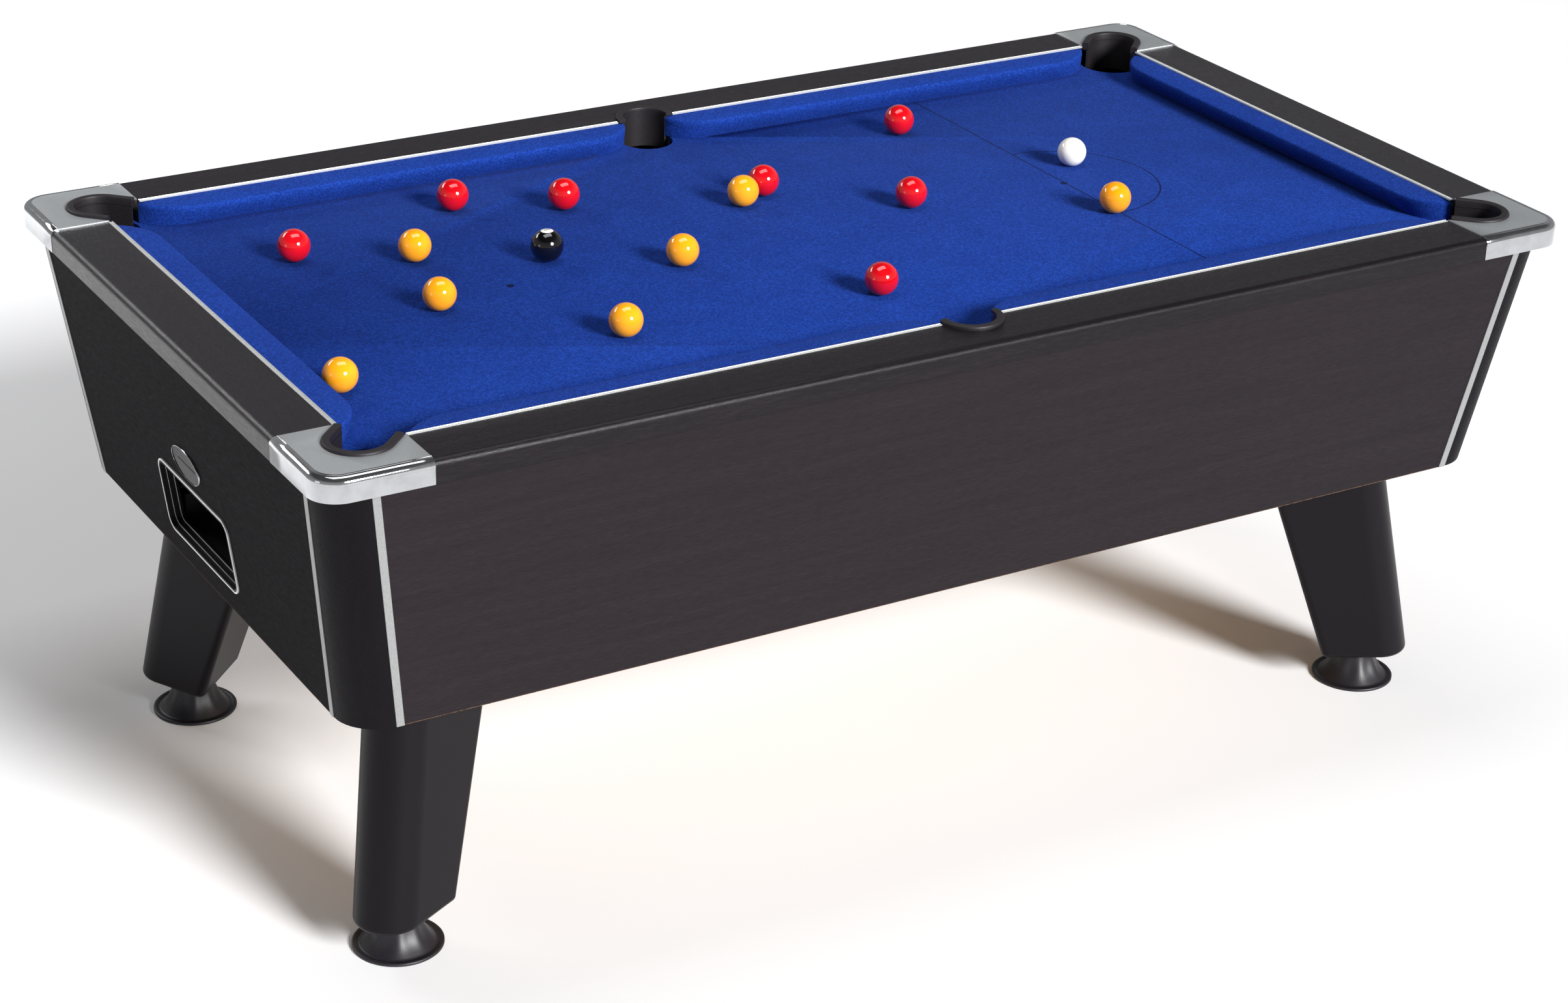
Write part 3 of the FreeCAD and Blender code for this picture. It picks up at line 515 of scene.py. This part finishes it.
def cushionSection(bm, x, face):
    nose = face - cushion["width"]
    back = face + cushion["over"]
    foot = table["bedTop"] + cushion["lift"]
    backTop, top, r = cushion["backTop"], cushion["noseTop"], cushion["noseRound"]
    points = [(back, foot), (back, backTop)]
    for t in cushion["crownAt"]:
        crown = cushion["crown"] * math.sin(math.pi * t)
        points.append((face - cushion["width"] * t, backTop + (top - backTop) * t + crown))
    for turned in cushion["noseTurns"]:
        a = math.radians(turned)
        points.append((nose + r - r * math.sin(a), top - r + r * math.cos(a)))
    points += [(nose + inwards, cushion["noseFace"] + up) for inwards, up in cushion["underNose"]]
    points += [(nose + cushion["heel"][0], foot + cushion["heel"][1]), (nose + cushion["undercut"], foot)]
    return drawLoop(bm, [(x, y, z) for y, z in points])


def drawCushion(face, startX, startArc, endX, endArc):
    # Runs along X, and each end curls back into the rail on its own arc
    nose = face - cushion["width"]
    bm = bmesh.new()
    reach, span = [], []
    for radius in (startArc, endArc):
        rise = radius - cushion["width"]
        reach.append(math.sqrt(radius ** 2 - rise ** 2))
        span.append(math.degrees(math.acos(rise / radius)) + cushion["arcPast"])
    x0, x1 = startX + reach[0], endX - reach[1]
    loop = cushionSection(bm, x0, face)
    sweep(bm, loop, [("turn", x0, nose + startArc, -span[0], cushion["arcSteps"])])
    sweep(bm, loop, [
        ("slide", (x1 - x0, 0, 0), cushion["straightSteps"]),
        ("turn", x1, nose + endArc, span[1], cushion["arcSteps"]),
    ])
    bmesh.ops.remove_doubles(bm, verts=bm.verts, dist=merge)
    # The undercut runs out towards each pocket
    for centreX, sign, radius, spanned in ((x0, -1, startArc, span[0]), (x1, 1, endArc, span[1])):
        for vert in bm.verts:
            off = vert.co.xy - Vector((centreX, nose + radius))
            under = radius - off.length
            onArc = sign * off.x > merge and 0 < under < cushion["undercut"] + 1
            if onArc and vert.co.z < cushion["noseFace"]:
                turned = math.degrees(math.atan2(sign * off.x, -off.y)) / spanned
                off *= (radius - under * max(0, 1 - turned)) / off.length
                vert.co.x, vert.co.y = centreX + off.x, nose + radius + off.y
    everything = bm.verts[:] + bm.edges[:] + bm.faces[:]
    bmesh.ops.bisect_plane(
        bm, geom=everything, dist=0.001, plane_co=(0, face, 0), plane_no=(0, 1, 0), clear_outer=True,
    )
    closeEnds(bm)
    return bm


def makeCushions():
    drawn = []
    for name, signX, signY in corners:
        bm = drawCushion(
            table["faceY"], cushion["middlePocket"], cushion["middleArc"], table["seamX"], cushion["cornerArc"],
        )
        drawn.append((bm, name, flip(signX, signY)))
    for name, sign in (("left", -1), ("right", 1)):
        bm = drawCushion(
            table["faceX"], -table["seamY"], cushion["cornerArc"], table["seamY"], cushion["cornerArc"],
        )
        drawn.append((bm, name, Matrix.Rotation(math.radians(-90 * sign), 4, "Z")))
    for bm, name, place in drawn:
        finishPiece(
            bm, "cushionCover_" + name, "cushion_" + name, ("cushionCloth",),
            place=place, sharp=cushion["sharp"],
        )


makeCushions()

# Bed cloth

bed = {
    "halfX": 1013.5, "halfY": 554.0, "thick": 1.0,
    "middleY": 490.0, "middleRadius": 44.0,
    "cornerX": 948.5, "cornerY": 489.5, "cornerRadius": 57.0,
    "arcSteps": 24, "arcEdge": 20.0, "onArc": 0.05,  # longest edge on a pocket's arc, and how true it lies
    "sheetShare": 0.8,  # drawn a little thinner than the cloth, to stay off the slate
    "lip": ((0.5, 0.25), (0.9, 1.2), (1.2, 11.0)),  # in towards the pocket, and down from the top
}


def makeBedCloth():
    x, y, r = bed["cornerX"], bed["cornerY"], bed["cornerRadius"] * diagonal
    top = table["bedTop"]
    reachY = bed["halfY"] - (y + r)
    reachX = bed["halfX"] - (x + r)
    bm = bmesh.new()
    drawPath(bm, (0, 0, top), [
        ("to", 0, bed["middleY"] - bed["middleRadius"]),
        ("turn", 0, bed["middleY"], 90, bed["arcSteps"] // 2),
        ("to", bed["middleRadius"], bed["halfY"]),
        ("to", x - r + reachY, bed["halfY"]),
        ("to", x - r, y + r),
        ("turn", x, y, 180, bed["arcSteps"]),
        ("to", bed["halfX"], y - r + reachX),
        ("to", bed["halfX"], 0),
        ("to", 0, 0),
    ])
    bmesh.ops.remove_doubles(bm, verts=bm.verts, dist=merge)
    bmesh.ops.contextual_create(bm, geom=bm.edges[:])
    for axis in ("X", "Y"):
        bmesh.ops.mirror(bm, geom=bm.verts[:] + bm.edges[:] + bm.faces[:], merge_dist=merge, axis=axis)
    inside = [e for e in bm.edges if not e.is_boundary]
    bmesh.ops.dissolve_limit(bm, angle_limit=0.01, verts=[], edges=inside)
    flatArea = sum(f.calc_area() for f in bm.faces) * mm * mm
    pockets = [(0, s * bed["middleY"], bed["middleRadius"]) for s in (-1, 1)]
    pockets += [(sx * x, sy * y, bed["cornerRadius"]) for _, sx, sy in corners]
    for px, py, radius in pockets:
        inward = 1.0
        rim = [e for e in bm.edges if e.is_boundary and e.calc_length() < bed["arcEdge"] and all(
            abs(math.hypot(v.co.x - px, v.co.y - py) - radius) < bed["onArc"] for v in e.verts
        )]
        for inset, drop in bed["lip"]:
            verts, rim = extrudeEdges(bm, rim)
            factor = (radius - inset) / radius
            grow = factor / inward
            bmesh.ops.scale(bm, vec=(grow, grow, 1), space=Matrix.Translation((-px, -py, 0)), verts=verts)
            inward = factor
            for vert in verts:
                vert.co.z = top - drop
    sheet = finishPiece(bm, "bedClothSheet", "bed_cloth", ("bedCloth",), sharp=60)
    addModifier(sheet, "SOLIDIFY", thickness=bed["thick"] * mm * bed["sheetShare"], offset=-1.0)
    print("bed cloth made, flat area", round(flatArea, 3))


makeBedCloth()

# Corner caps

cap = {
    "round": 11.0, "roundSteps": 10, "corner": 45.0, "cornerSteps": 18,
    "top": 847.0, "bottom": 811.0,
    "plateIn": 14.0,
    "bead": ((0.0, 0.0), (0.5, 0.55), (1.3, 0.55), (2.0, -0.2)),  # raised line round the plate: out, and up
    "step": ((0.1, 1.0), (0.7, 1.6)),  # small step under the round: in, and down
    "skirtIn": 0.7, "mouth": 50.3, "mouthSteps": 30, "wall": 2.6, "edge": 0.55, "straightSteps": 3,
}


def drawCap():
    bm = bmesh.new()
    capX, capY, top = table["capX"], table["capY"], cap["top"]
    round0 = cap["round"]
    inner = capY - cap["plateIn"]
    section = [(inner + out, top + up) for out, up in cap["bead"]]
    for step in range(cap["roundSteps"] + 1):
        a = math.radians(90 * step / cap["roundSteps"])
        section.append((capY - round0 + round0 * math.sin(a), top - round0 + round0 * math.cos(a)))
    section += [(capY - back, top - round0 - down) for back, down in cap["step"]]
    section.append((capY - cap["skirtIn"], cap["bottom"]))
    chain = drawChain(bm, [(table["seamX"], y, z) for y, z in section])
    turnX, turnY = capX - cap["corner"], capY - cap["corner"]
    sweep(bm, chain, [
        ("slide", (turnX - table["seamX"], 0, 0), cap["straightSteps"]),
        ("turn", turnX, turnY, -90, cap["cornerSteps"]),
        ("slide", (0, table["seamY"] - turnY, 0), cap["straightSteps"]),
    ])
    for face in bm.faces:
        face.material_index = 1
    # The satin plate, with the pocket mouth open towards the bed
    out = cap["mouth"] * diagonal
    x, y = table["pocketX"], table["pocketY"]
    reachX = (x - out) - table["seamX"]
    reachY = (y - out) - table["seamY"]
    drawPath(bm, (capX - cap["plateIn"], table["seamY"], top), [
        ("to", x + out - reachY, table["seamY"]),
        ("to", x + out, y - out),
        ("turn", x, y, 180, cap["mouthSteps"]),
        ("to", table["seamX"], y + out - reachX),
        ("to", table["seamX"], inner),
    ])
    bmesh.ops.remove_doubles(bm, verts=bm.verts, dist=merge)
    flat = [e for e in bm.edges if all(abs(v.co.z - top) < merge for v in e.verts)]
    rim = [e for e in flat if e.is_wire or (e.is_boundary and e.calc_length() > 0.5)]
    plate = bmesh.ops.contextual_create(bm, geom=rim)["faces"]
    for face in plate:
        face.material_index = 0
    return bm


def makeCaps():
    for name, signX, signY in corners:
        piece = finishPiece(
            drawCap(), "cornerCapCasting_" + name, "corner_cap_" + name, ("casting", "chrome"),
            place=flip(signX, signY), sharp=30,
        )
        wallAndEdge(piece, cap["wall"], cap["edge"], material=1)
    print("corner caps made")


makeCaps()

# Pocket collars

collar = {
    "bore": 38.0, "rim": 50.0, "middleRim": 49.5, "top": 851.0,
    "cornerBase": 838.0, "middleBase": 844.6,
    "round": 3.2, "roundTurns": (0, 25, 50, 75, 90), "innerRound": 2.2, "innerTurns": (0, 30, 60, 90),
    "wall": 41.5, "wallBottom": 784.0, "arcSteps": 36,
    "cornerLeg": 36.0, "middleLeg": 3.0, "middleY": 496.0,
    "middleWallStart": 2.4,  # mm that the middle wall's ends stay behind the pocket's centre
    "wallOverlap": 1.0, "legSteps": 2,
}


def rimSection(bm, x, base, rimRadius):
    bore, r, ri, top = collar["bore"], collar["round"], collar["innerRound"], collar["top"]
    points = [(-bore, base), (-rimRadius, base)]
    for turned in collar["roundTurns"]:
        a = math.radians(turned)
        points.append((-rimRadius + r - r * math.cos(a), top - r + r * math.sin(a)))
    for turned in collar["innerTurns"]:
        a = math.radians(turned)
        points.append((-bore - ri + ri * math.sin(a), top - ri + ri * math.cos(a)))
    return drawLoop(bm, [(x, y, z) for y, z in points])


def drawCollar(base, rimRadius, leg, wallStart):
    # Opens towards -X, with its arc about the origin
    bm = bmesh.new()
    straight, steps = collar["legSteps"], collar["arcSteps"]
    around = [("slide", (leg, 0, 0), straight), ("turn", 0, 0, 180, steps), ("slide", (-leg, 0, 0), straight)]
    sweep(bm, rimSection(bm, -leg, base, rimRadius), around)
    closeEnds(bm)
    inner, outer = collar["bore"], collar["wall"]
    low, high = collar["wallBottom"], base + collar["wallOverlap"]
    startX = 0 if wallStart > 0 else -leg
    ring = drawLoop(bm, [(startX, y, z) for y, z in ((-inner, low), (-outer, low), (-outer, high), (-inner, high))])
    if wallStart > 0:
        start = math.degrees(math.asin(wallStart / inner))
        turn = Matrix.Rotation(math.radians(start), 3, "Z")
        bmesh.ops.rotate(bm, verts=vertsOf(ring), cent=(0, 0, 0), matrix=turn)
        around = [("turn", 0, 0, 180 - 2 * start, steps)]
    sweep(bm, ring, around)
    closeEnds(bm)
    return bm


def placeCollar(bm, name, mirrored, x, y, turned):
    place = mirrored @ Matrix.Translation((x, y, 0)) @ Matrix.Rotation(math.radians(turned), 4, "Z")
    finishPiece(bm, "rubberCollar_" + name, "pocket_collar_" + name, ("rubber",), place=place)


def makeCollars():
    for name, signX, signY in corners:
        bm = drawCollar(collar["cornerBase"], collar["rim"], collar["cornerLeg"], 0)
        placeCollar(bm, name, flip(signX, signY), table["pocketX"], table["pocketY"], 45)
    for name, sign in (("front", -1), ("rear", 1)):
        bm = drawCollar(
            collar["middleBase"], collar["middleRim"], collar["middleLeg"], collar["middleWallStart"],
        )
        placeCollar(bm, name + "_middle", flip(1, sign), 0, collar["middleY"], 90)
    print("collars made")


makeCollars()

# Bright strips

channel = {
    "half": 3.5, "height": 2.5, "valley": 0.7, "valleyHalf": 1.1, "corner": 0.4, "base": 843.5,
    "sideStart": 51.5, "endGap": 2.0,
}


def channelSection(bm, turned, along, across):
    h, v, c = channel["half"], channel["valleyHalf"], channel["corner"]
    base, top = channel["base"], channel["base"] + channel["height"]
    outline = [(-h, base), (-h, top - c), (-h + c, top), (-v - c, top), (-v, top - channel["valley"])]
    outline += [(-a, z) for a, z in reversed(outline)]
    if turned:
        return drawLoop(bm, [(across + a, along, z) for a, z in outline])
    return drawLoop(bm, [(along, across + a, z) for a, z in outline])


def makeChannels():
    bm = bmesh.new()
    length = table["seamX"] - channel["endGap"] - channel["sideStart"]
    for signX in (-1, 1):
        for signY in (-1, 1):
            loop = channelSection(bm, False, signX * channel["sideStart"], signY * table["faceY"])
            sweep(bm, loop, [("slide", (signX * length, 0, 0), 1)])
    half = table["seamY"] - channel["endGap"]
    for signX in (-1, 1):
        loop = channelSection(bm, True, -half, signX * table["faceX"])
        sweep(bm, loop, [("slide", (0, 2 * half, 0), 1)])
    closeEnds(bm)
    finishPiece(bm, "clothChannelStrips", "cloth_trims", ("strip",), sharp=25)
    print("cloth channels made")


makeChannels()

jointStrip = {"half": 6.0, "thick": 1.2, "edge": 0.5, "inset": 70.0, "lift": 0.05}


def makeJointStrips():
    bm = bmesh.new()
    h, t, e = jointStrip["half"], jointStrip["thick"], jointStrip["edge"]
    outline = [(-h, 0), (-h, t - e), (-h + e, t), (h - e, t), (h, t - e), (h, 0)]
    lean = Vector(table["lean"])
    x, y, z = table["bottomHalfX"], table["bottomHalfY"], table["cabinetBottom"]
    for _, signX, signY in corners:
        carry = ("slide", (signX * lean.x, signY * lean.y, lean.z), 1)
        inset, lift = jointStrip["inset"], jointStrip["lift"]
        side = [(signX * (x - inset + a), signY * (y + out + lift), z) for a, out in outline]
        end = [(signX * (x + out + lift), signY * (y - inset + a), z) for a, out in outline]
        sweep(bm, drawLoop(bm, side), [carry])
        sweep(bm, drawLoop(bm, end), [carry])
    closeEnds(bm)
    finishPiece(bm, "jointCoverStrips", "joint_strips", ("cover",), sharp=25)
    print("joint strips made")


makeJointStrips()

# Ball return surround and badge

returnMouth = {
    "length": 274.0, "height": 122.0, "radius": 22.0, "flange": 2.5, "centre": 526.0,
    "pin": 2.8, "lip": 3.2,  # bright line, then black up to the opening
    "stepDepths": (8.5, 8.5, 5.0), "stepPin": 1.7, "stepLedge": 1.3,
    "wall": 1.2, "edge": 0.35, "cornerSteps": 8, "offPanel": 0.05,
}
badge = {
    "length": 106.0, "height": 51.0, "thick": 2.5, "centre": 624.0, "steps": 72, "offPanel": 0.05,
    "rimRings": ((0.3, 0.4, 1), (0.3, 0.1, 1), (0.3, -0.3, 1), (0.5, -0.9, 0)),  # width, rise and finish
    "dish": 1.3, "dishRings": (4.0, 5.0, 6.0),
}


def onReturnPanel(height):
    # Local X runs towards the front, local Y up the leaning end panel, local Z out of it
    lean = math.atan2(table["lean"][0], table["lean"][2])
    across = table["bottomHalfX"] + table["lean"][0] * (height - table["cabinetBottom"]) / table["lean"][2]
    return Matrix((
        (0, -math.sin(lean), -math.cos(lean), -across),
        (-1, 0, 0, 0),
        (0, math.cos(lean), -math.sin(lean), height),
        (0, 0, 0, 1),
    ))


def insetRing(bm, faces, width, index):
    ring = bmesh.ops.inset_region(
        bm, faces=faces, thickness=width, depth=0, use_even_offset=True, use_boundary=True,
    )
    for face in ring["faces"]:
        face.material_index = index
    return faces


def sinkFaces(bm, faces, depth, index):
    made = bmesh.ops.extrude_face_region(bm, geom=faces)["geom"]
    sunk = only(bmesh.types.BMFace, made)
    bmesh.ops.delete(bm, geom=[f for f in faces if f.is_valid], context="FACES_ONLY")
    bmesh.ops.translate(bm, vec=(0, 0, -depth), verts=vertsOf(sunk))
    low = sunk[0].calc_center_median().z
    for face in {f for s in sunk for v in s.verts for f in v.link_faces} - set(sunk):
        if abs(face.calc_center_median().z - low) > merge:
            face.material_index = index
    return sunk


def makeSurround():
    bm = bmesh.new()
    a, b, r = returnMouth["length"] / 2, returnMouth["height"] / 2, returnMouth["radius"]
    steps = returnMouth["cornerSteps"]
    drawPath(bm, (a, -b + r, returnMouth["flange"]), [
        ("to", a, b - r), ("turn", a - r, b - r, 90, steps),
        ("to", -a + r, b), ("turn", -a + r, b - r, 90, steps),
        ("to", -a, -b + r), ("turn", -a + r, -b + r, 90, steps),
        ("to", a - r, -b), ("turn", a - r, -b + r, 90, steps),
    ])
    bmesh.ops.remove_doubles(bm, verts=bm.verts, dist=merge)
    faces = bmesh.ops.contextual_create(bm, geom=bm.edges[:])["faces"]
    bmesh.ops.recalc_face_normals(bm, faces=faces)
    if faces[0].normal.z < 0:
        bmesh.ops.reverse_faces(bm, faces=faces)
    faces = insetRing(bm, faces, returnMouth["pin"], 1)
    faces = insetRing(bm, faces, returnMouth["lip"], 0)
    depths = returnMouth["stepDepths"]
    for step, depth in enumerate(depths, 1):
        faces = sinkFaces(bm, faces, depth, 0)
        if step < len(depths):
            faces = insetRing(bm, faces, returnMouth["stepPin"], 1)
            faces = insetRing(bm, faces, returnMouth["stepLedge"], 0)
    bmesh.ops.delete(bm, geom=faces, context="FACES")
    flange = returnMouth["flange"]
    rim = [e for e in bm.edges if e.is_boundary and all(v.co.z > flange / 2 for v in e.verts)]
    skirt = extrudeEdges(bm, rim)[0]
    bmesh.ops.translate(bm, vec=(0, 0, -flange + returnMouth["offPanel"]), verts=skirt)
    piece = finishPiece(
        bm, "returnSurroundMoulding", "return_surround", ("surround", "foil"),
        place=onReturnPanel(returnMouth["centre"]), sharp=30, recalc=False,
    )
    wallAndEdge(piece, returnMouth["wall"], returnMouth["edge"])
    print("return surround made")


makeSurround()


def makeBadge():
    bm = bmesh.new()
    bmesh.ops.create_circle(bm, cap_ends=True, segments=badge["steps"], radius=1)
    bmesh.ops.scale(bm, vec=(badge["length"] / 2, badge["height"] / 2, 1), verts=bm.verts)
    bmesh.ops.translate(bm, vec=(0, 0, badge["thick"]), verts=bm.verts)
    faces = bm.faces[:]
    if faces[0].normal.z < 0:
        bmesh.ops.reverse_faces(bm, faces=faces)
    sink = -badge["dish"] / len(badge["dishRings"])
    for width, lift, index in badge["rimRings"] + tuple((width, sink, 0) for width in badge["dishRings"]):
        insetRing(bm, faces, width, index)
        bmesh.ops.translate(bm, vec=(0, 0, lift), verts=vertsOf(faces))
    outer = [e for e in bm.edges if e.is_boundary]
    skirt = bmesh.ops.extrude_edge_only(bm, edges=outer)["geom"]
    for face in only(bmesh.types.BMFace, skirt):
        face.material_index = 1
    down = (0, 0, -badge["thick"] + badge["offPanel"])
    bmesh.ops.translate(bm, vec=down, verts=only(bmesh.types.BMVert, skirt))
    bmesh.ops.holes_fill(bm, edges=[e for e in bm.edges if e.is_boundary])
    finishPiece(
        bm, "ovalBadgeDish", "badge_plate", ("dish", "chrome"),
        place=onReturnPanel(badge["centre"]), sharp=50,
    )
    print("badge made")


makeBadge()

# Levelling feet

foot = {
    "x": 878.5, "y": 400.0, "segments": 96,
    "flutes": 8, "fluteDepth": 2.6, "fluteFrom": 5.5, "fluteTo": 48.0, "stem": 12.0,
    "section": (  # radius and height, up the outside
        (66.0, 0.0), (67.0, 0.9), (67.0, 3.9), (66.2, 4.9), (64.5, 5.3), (60.5, 5.0), (58.6, 3.9), (57.0, 4.3),
        (55.0, 6.4), (52.0, 9.6), (48.0, 14.5), (44.0, 20.5), (40.5, 27.0), (37.0, 34.5), (34.0, 42.0), (32.2, 47.5),
        (29.5, 53.0), (28.0, 59.1), (8.0, 59.1), (8.0, 110.0),
    ),
}


def makeFeet():
    for name, signX, signY in corners:
        bm = bmesh.new()
        outline = ((0, 0), *foot["section"], (0, foot["section"][-1][1]))
        chain = drawChain(bm, [(r, 0, z) for r, z in outline])
        spinAbout(bm, vertsOf(chain) + chain, (0, 0, 0), 360, foot["segments"], use_merge=True)
        bmesh.ops.remove_doubles(bm, verts=bm.verts, dist=merge)
        for vert in bm.verts:
            if foot["fluteFrom"] < vert.co.z < foot["fluteTo"] and vert.co.xy.length > foot["stem"]:
                share = (vert.co.z - foot["fluteFrom"]) / (foot["fluteTo"] - foot["fluteFrom"])
                wave = 0.5 + 0.5 * math.cos(foot["flutes"] * math.atan2(vert.co.y, vert.co.x))
                pull = 1 - foot["fluteDepth"] * wave * math.sin(math.pi * share) / vert.co.xy.length
                vert.co.x *= pull
                vert.co.y *= pull
        place = Matrix.Translation((signX * foot["x"], signY * foot["y"], 0))
        body = "levelling_foot_" + name
        finishPiece(bm, "flutedFoot_" + name, body, ("foot",), body=body, place=place, sharp=45)
    print("feet made")


makeFeet()

# Studio

studio = {
    "floor": 60.0, "floorTones": ("F8F8F9", "FCFCFD"), "floorCloud": 1667.0,
    "keyFrom": (0.217, -0.875, 0.432), "keySpread": 17.0, "keyPower": 6.0,
    "banks": (  # name, place, aim, width, length or none for a square, and power
        ("topBank", (0.0, 0.2, 4.4), (0, 0, 0.8), 3.0, 1.6, 55.0),
        ("leftFill", (-5.0, -0.6, 1.6), (0, 0, 0.8), 1.2, None, 5.0),
        ("rearBank", (-2.4, 4.6, 3.6), (-2.7, 5.1, 0.0), 2.6, None, 150.0),
    ),
    "skyBands": ((0.0, "FFFFFF"), (0.12, "EDEDEF"), (0.45, "D6D7DA"), (0.7, "26272B")), "skyStrength": 0.36,
}


def addToScene(name, data):
    made = bpy.data.objects.new(name, data)
    bpy.context.scene.collection.objects.link(made)
    return made


def makeStudio():
    data = bpy.data.lights.new("keySoftbox", "SUN")
    data.energy = studio["keyPower"]
    data.angle = math.radians(studio["keySpread"])
    key = addToScene("keySoftbox", data)
    key.rotation_euler = Vector(studio["keyFrom"]).to_track_quat("Z", "Y").to_euler()
    for name, place, aim, width, length, power in studio["banks"]:
        data = bpy.data.lights.new(name, "AREA")
        data.energy = power
        data.size = width
        if length:
            data.shape = "RECTANGLE"
            data.size_y = length
        light = addToScene(name, data)
        light.location = place
        light.rotation_euler = (Vector(aim) - Vector(place)).to_track_quat("-Z", "Y").to_euler()
    bm = bmesh.new()
    bmesh.ops.create_grid(bm, x_segments=2, y_segments=2, size=studio["floor"] / 2)
    mesh = bpy.data.meshes.new("studioFloor")
    bm.to_mesh(mesh)
    bm.free()
    # Painted floor: matt near-white with the faintest cloud
    mesh.materials.append(mottled(
        "paintedStudioFloor", studio["floorTones"], studio["floorCloud"], detail=2.0,
        Roughness=0.9, Specular_IOR_Level=0.1,
    ))
    floor = addToScene("studioFloor", mesh)
    world = bpy.data.worlds.new("studioSky")
    bpy.context.scene.world = world
    world.use_nodes = True
    tree = world.node_tree
    height = addNode(tree, "SeparateXYZ", {0: addNode(tree, "TexCoord", {}, out="Generated")}, out=2)
    sky = addNode(tree, "ValToRGB", {"Fac": height}, stops=studio["skyBands"])
    feed(tree, tree.nodes["Background"], {"Color": sky, "Strength": studio["skyStrength"]})


makeStudio()

# Camera

lens = {
    "place": (-2.511, -4.189, 2.647), "aim": (-0.550, -0.907, 0.845), "roll": 1.42,
    "focal": 76.63, "sensor": 36.0,
}


def makeCamera():
    data = bpy.data.cameras.new("camera")
    data.lens = lens["focal"]
    data.sensor_width = lens["sensor"]
    camera = addToScene("camera", data)
    place = Vector(lens["place"])
    ahead = (Vector(lens["aim"]) - place).normalized()
    side = ahead.cross(Vector((0, 0, 1))).normalized()
    up = side.cross(ahead)
    roll = math.radians(lens["roll"])
    right = side * math.cos(roll) + up * math.sin(roll)
    top = up * math.cos(roll) - side * math.sin(roll)
    camera.matrix_world = Matrix.Translation(place) @ Matrix((right, top, -ahead)).transposed().to_4x4()
    bpy.context.scene.camera = camera


makeCamera()
bpy.context.scene.view_settings.view_transform = "Standard"
print("studio and camera ready")
